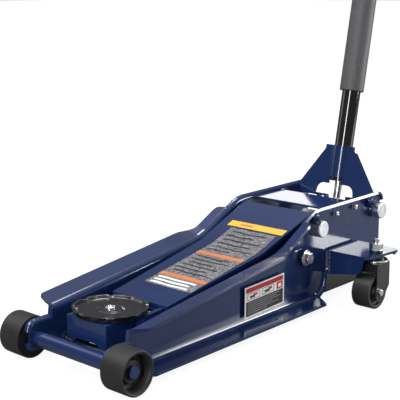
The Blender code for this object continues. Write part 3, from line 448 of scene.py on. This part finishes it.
def plate_section(y, sizes):
    """Inner-surface points of the side plate at one place, from the foot's edge to the flange's edge."""
    bottom = blend_value(PLATE_FOOT, y)
    top = blend_value(PLATE_TOP, y)
    foot = blend_value(FOOT, y)
    flange = blend_value(FLANGE, y)
    inner = SIDE_X - SIDE_T
    points = []
    radius = min(sizes.bend_radius, foot + 0.003)
    for share in (1.0, 0.75, 0.5, 0.25):
        points.append((inner + radius + (SIDE_T + foot - radius) * share, bottom))
    for step in range(7):
        turn = math.pi / 2 * step / 6
        points.append((inner + radius * (1 - math.sin(turn)), bottom + radius * (1 - math.cos(turn))))
    bend = min(sizes.bend_radius, flange + 0.003)
    for step in range(1, 16):
        share = step / 16
        z = bottom + radius + (top - bend - bottom - radius) * share
        distance = math.hypot(y - PRESSING[0], z - PRESSING[1]) / PRESSING[2]
        swell = sizes.bulge * (0.5 + 0.5 * math.cos(math.pi * distance)) if distance < 1 else 0.0
        points.append((inner + swell, z))
    for step in range(7):
        turn = math.pi / 2 * step / 6
        points.append((inner + bend * (1 - math.cos(turn)), top - bend * (1 - math.sin(turn))))
    for share in (0.25, 0.5, 0.75, 1.0):
        reach = (SIDE_T + flange - bend) * share
        points.append((inner + bend + reach, top + reach * sizes.flange_rise))
    return points


class JACK_OT_side_plates(bpy.types.Operator):
    """Press both side plates from sheet, with rounded bends and a round pressing"""
    bl_idname = "jack.side_plates"
    bl_label = "Side plates"

    def execute(self, context):
        sizes = context.scene.jack_sizes
        places = stations()
        across = len(plate_section(0.1, sizes))
        for name, side in LEFT_RIGHT:
            bpy.ops.object.select_all(action="DESELECT")
            bpy.ops.mesh.primitive_grid_add(x_subdivisions=across - 1, y_subdivisions=len(places) - 1, size=1)
            obj = settle()
            for index, vertex in enumerate(obj.data.vertices):
                y = places[index // across]
                x, z = plate_section(y, sizes)[index % across]
                vertex.co = at(side * x, y, z)
            only(obj)
            bpy.ops.object.mode_set(mode="EDIT")
            bpy.ops.mesh.select_all(action="SELECT")
            if side > 0:
                bpy.ops.mesh.flip_normals()
            bpy.ops.object.mode_set(mode="OBJECT")
            wall = obj.modifiers.new("Sheet", "SOLIDIFY")
            wall.thickness = SIDE_T
            wall.offset = -1.0
            apply_modifiers(obj)
            soften(obj, sizes.plate_round, 2, 50)
            piece(obj, f"pressed_side_{name}", "chassis", [FINISH["paint"]],
                  (f"side_plate_{name}",), angle=40)
        return {"FINISHED"}


def refine_all(rows):
    """Refined copies of frame nodes, given as (node, body, slot, finish, rounding)."""
    for node, body, slot, finish, width in rows:
        piece(refined(node, width), node + "_detail", body, [FINISH[finish]], (node,))


class JACK_OT_chassis(bpy.types.Operator):
    """Round and paint the cover, brackets, braces and pump unit"""
    bl_idname = "jack.chassis"
    bl_label = "Cover, brackets and pump unit"

    def execute(self, context):
        sizes = context.scene.jack_sizes
        width = sizes.plate_round
        rows = [("top_cover", "chassis", "navy_paint", "paint", width),
                ("rear_brace", "chassis", "navy_paint", "paint", width),
                ("belly_brace", "chassis", "navy_paint", "paint", width),
                ("oil_tank", "chassis", "black_tank", "satin", 0.002),
                ("pump_block", "chassis", "black_tank", "satin", 0.001),
                ("ram_cylinder", "chassis", "black_tank", "satin", 0.0008),
                ("filler_plug", "chassis", "bright_zinc", "zinc", 0.0006)]
        for name, _ in LEFT_RIGHT:
            rows.append((f"caster_bracket_{name}", "chassis", "navy_paint", "paint", 0.0016))
            rows.append((f"arm_shaft_lock_{name}", "chassis", "navy_paint", "paint", 0.0007))
            rows.append((f"yoke_shaft_lock_{name}", "chassis", "navy_paint", "paint", 0.0007))
            rows.append((f"spring_anchor_{name}", "chassis", "bright_zinc", "zinc", 0.0008))
        refine_all(rows)
        for name, side in LEFT_RIGHT:
            bracket = f"caster_bracket_{name}"
            front, top = low(bracket).y, high(bracket).z
            rear = high(bracket).y
            x = side * (SIDE_X + 0.0012)
            bead(f"bracket_weld_{name}", (x, front + 0.001, 0.058), (x, front + 0.001, top - 0.004),
                 sizes.weld)
            bead(f"shelf_weld_{name}", (x, front + 0.006, top - 0.001), (x, rear - 0.004, top - 0.001),
                 sizes.weld * 0.8)
        return {"FINISHED"}


class JACK_OT_axle(bpy.types.Operator):
    """Turn the front axle with a weld ring at each lug"""
    bl_idname = "jack.axle"
    bl_label = "Front axle"

    def execute(self, context):
        sizes = context.scene.jack_sizes
        half = SIDE_X - SIDE_T
        end = high("front_axle").x
        bar = cylinder("X", 0.013, 2 * half, AXLE)
        parts = [bar]
        for side in (-1, 1):
            push(bar, (side, 0, 0), [(0.002, 0.0), (0, end - half - 0.0015), (0.0015, 0.0015)])
            parts.append(torus("X", 0.0135, sizes.weld * 0.9, AXLE + Vector((side * (half - 0.001), 0, 0))))
        piece(merge("axle_bar", parts), "axle_bar", "chassis", [FINISH["paint"]],
              ("front_axle",))
        return {"FINISHED"}


class JACK_OT_wheels(bpy.types.Operator):
    """Mould the front wheels and caster wheels"""
    bl_idname = "jack.wheels"
    bl_label = "Wheels"

    def execute(self, context):
        for name, side in LEFT_RIGHT:
            node = f"front_wheel_{name}"
            wheel = cylinder("X", radius_of(node), width_of(node), middle(node), 96)
            push(wheel, (side, 0, 0), [(0.0035, 0.0), (0.0035, -0.004), (0.0020, -0.014), (0.007, -0.001),
                                       (0.0010, 0.0065), (0.0045, 0.0)])
            push(wheel, (-side, 0, 0), [(0.004, 0.0), (0.002, -0.002), (0.014, 0.0)])
            soften(wheel, 0.0011, 3)
            piece(wheel, f"rolling_wheel_{name}", node, [FINISH["nylon"]], (node,))
            node = f"caster_wheel_{name}"
            wheel = cylinder("X", radius_of(node), width_of(node), middle(node), 80)
            for way in (-1, 1):
                push(wheel, (way, 0, 0), [(0.006, 0.0), (0.0025, -0.006), (0.011, 0.0), (0.0015, 0.0055),
                                          (0.004, 0.0)])
            soften(wheel, 0.0014, 3)
            piece(wheel, f"caster_roller_{name}", node, [FINISH["nylon"]], (node,))
        return {"FINISHED"}


class JACK_OT_casters(bpy.types.Operator):
    """Press the caster forks, their bearing races, nuts and wheel bolts"""
    bl_idname = "jack.casters"
    bl_label = "Casters"

    def execute(self, context):
        for name, _ in LEFT_RIGHT:
            body = f"caster_fork_{name}"
            fork = piece(refined(body, 0.0009), f"caster_hood_{name}", body,
                         [FINISH["fork"], FINISH["zinc"]], (body,))
            nut_node = f"caster_nut_{name}"
            stud, nut_low = middle(nut_node), low(nut_node).z
            race = high(body).z - 0.040
            for polygon in fork.data.polygons:
                if polygon.center.z > nut_low - 0.002:
                    polygon.material_index = 1
            ring = torus("Z", 0.0205, 0.0022, (stud.x, stud.y, race), 64, 14)
            piece(ring, f"bearing_race_{name}", body, [FINISH["zinc"]])
            piece(refined(f"caster_bolt_{name}", 0.0007), f"wheel_bolt_{name}", body,
                  [FINISH["zinc"]], (f"caster_bolt_{name}",))
            nut = piece(refined(nut_node, 0.0012), f"lock_nut_{name}", "chassis",
                        [FINISH["zinc"], FINISH["satin"]], (nut_node,))
            for polygon in nut.data.polygons:
                if polygon.center.z < nut_low + 0.0052:
                    polygon.material_index = 1
        return {"FINISHED"}


class JACK_OT_saddle(bpy.types.Operator):
    """Cast the saddle with its lobed rim and centre screw, over its fabricated block"""
    bl_idname = "jack.saddle"
    bl_label = "Saddle and block"

    def execute(self, context):
        centre = middle("saddle")
        top = high("saddle").z
        base = high("saddle_block").z + 0.0003
        radius = width_of("saddle") / 2
        flare, rim, notches, notch_depth = 0.004, 0.0075, 8, 0.0022
        dish = cylinder("Z", radius - flare, top - base, (centre.x, centre.y, (top + base) / 2), 192)
        for vertex in dish.data.vertices:
            if vertex.co.z > (top + base) / 2:
                flat = Vector((vertex.co.x - centre.x, vertex.co.y - centre.y, 0))
                vertex.co += flat.normalized() * flare
        push(dish, (0, 0, 1), [(0.0055, 0.0), (0.0030, -0.0045), (0.0050, -0.0012), (0.026, -0.0002),
                               (0.0035, 0.0022), (0.006, 0.0)])
        for vertex in dish.data.vertices:
            flat = Vector((vertex.co.x - centre.x, vertex.co.y - centre.y))
            if flat.length > radius - rim and vertex.co.z > top - 0.003:
                turn = math.atan2(flat.y, flat.x)
                vertex.co.z -= notch_depth * max(0.0, math.cos(turn * notches) - 0.55) / 0.45
        soften(dish, 0.0009, 3, 25)
        piece(dish, "saddle_dish", "saddle", [FINISH["casting"]], ("saddle",), angle=40)
        screw = cylinder("Z", 0.0085, 0.0036, (centre.x, centre.y, base + 0.0062), 48)
        push(screw, (0, 0, 1), [(0.0022, 0.0012), (0.0025, 0.0), (0.0005, -0.0016)])
        soften(screw, 0.0004, 2)
        piece(screw, "saddle_screw", "saddle", [FINISH["zinc"]])
        piece(refined("saddle_block", 0.0018, 3), "saddle_carrier", "saddle_block",
              [FINISH["paint"]], ("saddle_block",))
        piece(refined("block_cross_bolt", 0.0008), "carrier_bolt", "saddle_block",
              [FINISH["zinc"]], ("block_cross_bolt",))
        return {"FINISHED"}


class JACK_OT_lift_arm(bpy.types.Operator):
    """Round and paint the lifting arm, its pins and the tie rods"""
    bl_idname = "jack.lift_arm"
    bl_label = "Lifting arm"

    def execute(self, context):
        rows = [("lift_arm", "lift_arm", "navy_paint", "paint", 0.0013),
                ("ram_pin", "lift_arm", "machined_steel", "ground", 0.0008),
                ("arm_front_pin", "lift_arm", "machined_steel", "paint", 0.0008),
                ("ram_crosshead", "ram", "machined_steel", "ground", 0.001),
                ("ram", "ram", "machined_steel", "ground", 0.001)]
        for name, _ in LEFT_RIGHT:
            rows.append((f"tie_rod_{name}", f"tie_rod_{name}", "navy_paint", "paint", 0.001))
        refine_all(rows)
        return {"FINISHED"}


class JACK_OT_fasteners(bpy.types.Operator):
    """Finish the shafts, hexagon bolts and cover screws"""
    bl_idname = "jack.fasteners"
    bl_label = "Shafts, bolts and screws"

    def execute(self, context):
        piece(refined("arm_pivot_shaft", 0.0016, 3), "pivot_shaft", "chassis",
              [FINISH["turned"]], ("arm_pivot_shaft",))
        screw_places = ((0.589, 0.166), (0.653, 0.168))
        for name, side in LEFT_RIGHT:
            node = f"yoke_pivot_bolt_{name}"
            piece(refined(node, 0.0016, 3), f"yoke_bolt_{name}", "chassis",
                  [FINISH["turned"]], (node,))
            node = f"tie_rod_bolt_{name}"
            piece(refined(node, 0.0010), f"rod_bolt_{name}", "chassis", [FINISH["zinc"]],
                  (node,))
            for index, (y, z) in enumerate(screw_places):
                head = cylinder("X" if side > 0 else "-X", 0.0052, 0.0032,
                                at(side * (SIDE_X + 0.0014), y, z), 32)
                push(head, (side, 0, 0), [(0.0016, 0.0010), (0.0014, 0.0002), (0.0003, -0.0012)])
                piece(soften(head, 0.0003), f"cover_screw_{name}_{index + 1}", "chassis",
                      [FINISH["zinc"]])
        return {"FINISHED"}


class JACK_OT_yoke(bpy.types.Operator):
    """Round and paint the handle yoke, its rollers, the pump pistons and the release valve"""
    bl_idname = "jack.yoke"
    bl_label = "Handle yoke and pump"

    def execute(self, context):
        rows = [("handle_yoke", "yoke", "navy_paint", "paint", 0.0013),
                ("release_valve", "release_valve", "machined_steel", "zinc", 0.0)]
        for name, _ in LEFT_RIGHT:
            rows.append((f"pump_roller_{name}", "yoke", "machined_steel", "ground", 0.0006))
            rows.append((f"pump_piston_{name}", f"pump_piston_{name}", "machined_steel", "ground", 0.0006))
        refine_all(rows)
        return {"FINISHED"}


class JACK_OT_handle(bpy.types.Operator):
    """Make the handle's tubes, foam sleeve, grip and cap"""
    bl_idname = "jack.handle"
    bl_label = "Handle"

    def execute(self, context):
        bolt = middle("yoke_pivot_bolt_right")
        pivot = Vector((0, bolt.y, bolt.z))
        forward = Vector((0, -math.cos(HANDLE_LEAN), math.sin(HANDLE_LEAN)))
        foam_start, foam_end = 0.230, 0.800
        grip_start, grip_end = 0.960, 1.093

        def up(distance):
            """A point on the handle's axis, from its distance to the yoke's pivot."""
            return pivot + ALONG_HANDLE * distance

        lower = piece(refined("handle_lower_tube", 0.0), "lower_tube", "handle",
                      [FINISH["tube"], FINISH["zinc"]], ("handle_lower_tube",), angle=40)
        for polygon in lower.data.polygons:
            if (polygon.center - pivot).dot(ALONG_HANDLE) < 0.0475:
                polygon.material_index = 1
        piece(refined("handle_upper_tube", 0.0), "upper_tube", "handle", [FINISH["tube"]],
              ("handle_upper_tube",), angle=40)
        button = cylinder(forward, 0.0045, 0.004, up(0.865) + forward * 0.0195, 32)
        piece(soften(button, 0.0012, 3), "snap_button", "handle", [FINISH["zinc"]])
        sleeve = cylinder(ALONG_HANDLE, 0.0243, foam_end - foam_start, up((foam_start + foam_end) / 2), 96)
        push(sleeve, ALONG_HANDLE, [(0.0057, 0.0)])
        push(sleeve, -ALONG_HANDLE, [(0.0057, 0.0)])
        soften(sleeve, 0.0022, 4)
        sleeve = piece(sleeve, "foam_cover", "handle", [FINISH["foam"]], ("foam_sleeve",))
        grip = cylinder(ALONG_HANDLE, 0.0214, grip_end - grip_start, up((grip_start + grip_end) / 2), 96)
        ribs = [soften(grip, 0.0012, 3)]
        for index in range(9):
            ribs.append(torus(ALONG_HANDLE, 0.0206, 0.0014, up(0.972 + 0.0135 * index), 72, 10))
        piece(merge("grip", ribs), "grip_rubber", "handle", [FINISH["rubber"]],
              ("hand_grip",))
        piece(refined("handle_cap", 0.0009), "end_cap", "handle", [FINISH["rubber"]],
              ("handle_cap",))
        return {"FINISHED"}


class JACK_OT_springs(bpy.types.Operator):
    """Wind the two return springs between the pump block and the ram"""
    bl_idname = "jack.springs"
    bl_label = "Return springs"

    def execute(self, context):
        sizes = context.scene.jack_sizes
        for name, _ in LEFT_RIGHT:
            node = f"return_spring_{name}"
            centre = middle(node)
            front, rear = low(node).y, high(node).y
            radius = (width_of(node) - sizes.wire) / 2
            hook, sides = 0.006, 18
            curve = bpy.data.curves.new(node + "_wire", "CURVE")
            curve.dimensions = "3D"
            curve.bevel_depth = sizes.wire / 2
            curve.bevel_resolution = 2
            curve.use_fill_caps = True
            spline = curve.splines.new("POLY")
            steps = sizes.turns * sides
            spline.points.add(steps + 2)
            spline.points[0].co = (centre.x, front, centre.z, 1)
            for step in range(steps + 1):
                turn = math.tau * step / sides
                y = front + hook + (rear - front - 2 * hook) * step / steps
                spline.points[step + 1].co = (centre.x + radius * math.cos(turn), y,
                                              centre.z + radius * math.sin(turn), 1)
            spline.points[steps + 2].co = (centre.x, rear, centre.z, 1)
            obj = bpy.data.objects.new(node + "_coil", curve)
            bpy.context.scene.collection.objects.link(obj)
            only(obj)
            bpy.ops.object.convert(target="MESH")
            coil = bpy.context.view_layer.objects.active
            coil.name = node + "_coil"
            coil.data.materials.clear()
            coil.data.materials.append(FINISH["zinc"])
            bpy.ops.object.shade_smooth_by_angle(angle=math.radians(50))
            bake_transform(coil)
            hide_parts(node)
        return {"FINISHED"}


def print_patch(corners, lift, finish, pieces, columns=1, wave=0.0):
    """A thin printed patch through four corners in order, raised by lift and slightly wavy if asked."""
    a, b, c, d = (Vector(corner) for corner in corners)
    bpy.ops.object.select_all(action="DESELECT")
    bpy.ops.mesh.primitive_grid_add(x_subdivisions=columns, y_subdivisions=1, size=1)
    obj = settle()
    normal = (b - a).cross(d - a).normalized()
    side = (d - a).normalized()
    for index, vertex in enumerate(obj.data.vertices):
        share = (index % (columns + 1)) / columns
        row = index // (columns + 1)
        point = a.lerp(b, share) if row == 0 else d.lerp(c, share)
        vertex.co = point + normal * lift + side * wave * math.sin(share * 9.0)
    obj.data.materials.append(FINISH[finish])
    pieces.append(obj)


class JACK_OT_labels(bpy.types.Operator):
    """Lay the plain printed labels on the arm and the side plates"""
    bl_idname = "jack.labels"
    bl_label = "Labels"

    def side_label(self, name, side):
        """A framed label with a top band, two pictures, a mark and rows of plain lines."""
        parts = []
        x = side * SIDE_X

        def spot(u, v):
            """A point of the label from its shares along and up."""
            return at(x, 0.311 + 0.113 * u, 0.0285 + 0.0555 * v + 0.0035 * u)

        def patch(u0, v0, u1, v1, lift, finish):
            """A patch between two corners of the label, facing outward."""
            corners = [spot(u0, v0), spot(u1, v0), spot(u1, v1), spot(u0, v1)]
            if side < 0:
                corners = [spot(u1, v0), spot(u0, v0), spot(u0, v1), spot(u1, v1)]
            print_patch(corners, lift, finish, parts)

        patch(0, 0, 1, 1, 0.0003, "white")
        patch(0.03, 0.05, 0.97, 0.52, 0.0005, "black print")
        patch(0.03, 0.80, 0.97, 0.95, 0.0005, "red")
        for start in (0.05, 0.42):
            patch(start + 0.01, 0.55, start + 0.32, 0.78, 0.0005, "grey print")
            patch(start + 0.03, 0.58, start + 0.30, 0.75, 0.0006, "white")
            patch(start + 0.07, 0.61, start + 0.20, 0.69, 0.0007, "black print")
            patch(start + 0.16, 0.66, start + 0.26, 0.73, 0.0007, "red")
        patch(0.80, 0.55, 0.96, 0.78, 0.0005, "red")
        patch(0.84, 0.60, 0.92, 0.72, 0.0006, "white")
        for row in range(6):
            length = (0.88, 0.80, 0.90, 0.70, 0.86, 0.55)[row]
            v = 0.45 - row * 0.066
            patch(0.07, v, length, v + 0.018, 0.0006, "grey print")
        return merge(f"side_label_{name}", parts)

    def arm_label(self):
        """A long speckled field with plain bands and wavy lines in place of wording."""
        front, bend, rear = (0.148, 0.084), (0.385, 0.125), (0.530, 0.176)
        parts = []

        def spot(x, y):
            """A point on the arm's top plate."""
            return at(x, y, blend_value((front, bend, rear), y))

        def band(x0, y0, x1, y1, lift, finish, columns=1, wave=0.0):
            """A patch across the arm, split where the plate bends."""
            spans = [(y0, y1)]
            if y0 < bend[0] < y1:
                spans = [(y0, bend[0]), (bend[0], y1)]
            for start, end in spans:
                corners = [spot(x0, start), spot(x1, start), spot(x1, end), spot(x0, end)]
                print_patch(corners, lift, finish, parts, columns, wave)

        band(-0.041, 0.204, 0.063, 0.441, 0.0004, "field")
        band(-0.055, 0.446, 0.071, 0.463, 0.0005, "yellow")
        band(-0.029, 0.452, -0.001, 0.457, 0.0006, "orange")
        band(-0.041, 0.339, 0.063, 0.350, 0.0006, "orange")
        band(-0.041, 0.240, 0.063, 0.251, 0.0006, "orange")
        lines = ((0.428, -0.029, 0.047), (0.415, -0.033, 0.029), (0.402, -0.031, 0.051),
                 (0.389, -0.033, 0.041), (0.374, -0.025, 0.053), (0.361, -0.033, 0.015),
                 (0.328, -0.029, 0.043), (0.315, -0.033, 0.051), (0.302, -0.023, 0.025),
                 (0.289, -0.031, 0.047), (0.276, -0.033, 0.035), (0.263, -0.029, 0.049))
        for y, start, end in lines:
            band(start, y, end, y + 0.0036, 0.0007, "black print", 8, 0.0009)
        for row, length in enumerate((0.051, 0.045, 0.049)):
            y = 0.229 - row * 0.0105
            band(-0.033, y, length, y + 0.0058, 0.0007, "white", 8, 0.0006)
        return merge("arm_label", parts)

    def execute(self, context):
        for name, side in LEFT_RIGHT:
            obj = self.side_label(name, side)
            piece(obj, f"side_label_{name}", "chassis", None)
        piece(self.arm_label(), "arm_label", "lift_arm", None)
        return {"FINISHED"}


class JACK_OT_stage(bpy.types.Operator):
    """Set the pale floor, the soft lights and the camera"""
    bl_idname = "jack.stage"
    bl_label = "Stage"

    def light(self, name, place, target, size, power, tall=None):
        """An area light that faces a target."""
        data = bpy.data.lights.new(name, "AREA")
        data.shape = "RECTANGLE"
        data.size = size
        data.size_y = tall or size
        data.energy = power
        obj = bpy.data.objects.new(name, data)
        bpy.context.scene.collection.objects.link(obj)
        obj.location = place
        obj.rotation_euler = (Vector(target) - Vector(place)).to_track_quat("-Z", "Y").to_euler()

    def execute(self, context):
        scene = context.scene
        bpy.ops.object.select_all(action="DESELECT")
        bpy.ops.mesh.primitive_plane_add(size=40, location=(0, 0, 0))
        floor = bpy.context.view_layer.objects.active
        floor.name = "floor"
        tone = tuple(scene.jack_colours.floor)
        pale = surface("pale floor", tone, tinted(tone, 1.02), 0.8, (0.7, 0.8), grain=(60.0, 0.02, 0.0002))
        shader = pale.node_tree.nodes["Principled BSDF"]
        shader.inputs["Emission Color"].default_value = (1, 1, 1, 1)
        ray = pale.node_tree.nodes.new("ShaderNodeLightPath")
        glow = pale.node_tree.nodes.new("ShaderNodeMath")
        glow.operation = "MULTIPLY"
        glow.inputs[1].default_value = 0.90
        pale.node_tree.links.new(ray.outputs["Is Camera Ray"], glow.inputs[0])
        pale.node_tree.links.new(glow.outputs["Value"], shader.inputs["Emission Strength"])
        floor.data.materials.append(pale)
        world = bpy.data.worlds.new("soft studio")
        world.use_nodes = True
        nodes, links = world.node_tree.nodes, world.node_tree.links
        room = nodes["Background"]  # brighter overhead, seen only in reflections and as soft light
        room.inputs["Strength"].default_value = 0.9
        direction = nodes.new("ShaderNodeTexCoord")
        parts = nodes.new("ShaderNodeSeparateXYZ")
        links.new(direction.outputs["Generated"], parts.inputs["Vector"])
        fade = nodes.new("ShaderNodeValToRGB")
        fade.color_ramp.elements[0].position = 0.02
        fade.color_ramp.elements[0].color = (0.15, 0.15, 0.16, 1)
        fade.color_ramp.elements[1].position = 0.90
        fade.color_ramp.elements[1].color = (1.0, 1.0, 1.0, 1)
        for height, tone in ((0.30, 0.16), (0.55, 0.22)):
            fade.color_ramp.elements.new(height).color = (tone, tone, tone * 1.05, 1)
        links.new(parts.outputs["Z"], fade.inputs["Fac"])
        links.new(fade.outputs["Color"], room.inputs["Color"])
        backdrop = nodes.new("ShaderNodeBackground")
        backdrop.inputs["Strength"].default_value = 1.0
        seen = nodes.new("ShaderNodeLightPath")
        choice = nodes.new("ShaderNodeMixShader")
        links.new(seen.outputs["Is Camera Ray"], choice.inputs["Fac"])
        links.new(room.outputs["Background"], choice.inputs[1])
        links.new(backdrop.outputs["Background"], choice.inputs[2])
        links.new(choice.outputs["Shader"], nodes["World Output"].inputs["Surface"])
        scene.world = world
        scene.view_settings.view_transform = "Standard"
        centre = at(0, 0.35, 0.12)
        handle = centre + Vector((0, 0.4, 0.4))
        self.light("key", at(-0.6, -1.2, 3.0), centre, 1.4, 60)
        self.light("side", at(2.6, 0.4, 1.8), centre, 0.7, 8, 1.6)
        self.light("back", at(-0.8, 1.6, 3.4), centre, 0.9, 30)
        self.light("horizon", at(-1.85, 3.2, 1.0), centre, 1.1, 5.0, 0.55)
        self.light("low right", at(2.0, 2.8, 0.6), centre, 1.2, 60, 0.8)
        self.light("left strip", at(-2.4, -0.3, 1.5), handle, 1.0, 8, 2.2)
        self.light("front strip", at(0.9, -2.4, 1.4), handle, 0.45, 55, 2.2)
        data = bpy.data.cameras.new("camera")
        data.sensor_width = 36
        data.lens = 92.49
        data.shift_x = 0.14706
        data.shift_y = -0.12476
        camera = bpy.data.objects.new("camera", data)
        bpy.context.scene.collection.objects.link(camera)
        camera.location = at(1.13193, -1.02745, 0.60927)
        camera.rotation_euler = (math.radians(80.402), math.radians(0.427), math.radians(43.660))
        scene.camera = camera
        return {"FINISHED"}


OPERATORS = (JACK_OT_finishes, JACK_OT_stage, JACK_OT_side_plates, JACK_OT_chassis, JACK_OT_axle,
             JACK_OT_wheels, JACK_OT_casters, JACK_OT_saddle, JACK_OT_lift_arm, JACK_OT_fasteners,
             JACK_OT_yoke, JACK_OT_handle, JACK_OT_springs, JACK_OT_labels)


class JACK_PT_panel(bpy.types.Panel):
    """Sizes, colours and pieces of the jack"""
    bl_idname = "JACK_PT_panel"
    bl_label = "Trolley jack"
    bl_space_type = "VIEW_3D"
    bl_region_type = "UI"
    bl_category = "Jack"

    def draw(self, context):
        for group in (context.scene.jack_sizes, context.scene.jack_colours):
            for key in group.bl_rna.properties.keys():
                if key not in ("rna_type", "name"):
                    self.layout.prop(group, key)
        for operator in OPERATORS:
            self.layout.operator(operator.bl_idname)


CLASSES = (JackSizes, JackColours, *OPERATORS, JACK_PT_panel)


def register():
    for cls in CLASSES:
        bpy.utils.register_class(cls)
    bpy.types.Scene.jack_sizes = bpy.props.PointerProperty(type=JackSizes)
    bpy.types.Scene.jack_colours = bpy.props.PointerProperty(type=JackColours)


def unregister():
    del bpy.types.Scene.jack_colours
    del bpy.types.Scene.jack_sizes
    for cls in reversed(CLASSES):
        bpy.utils.unregister_class(cls)


def main():
    register()
    for operator in OPERATORS:
        getattr(bpy.ops.jack, operator.bl_idname.split(".")[1])()


if __name__ == "__main__":
    main()
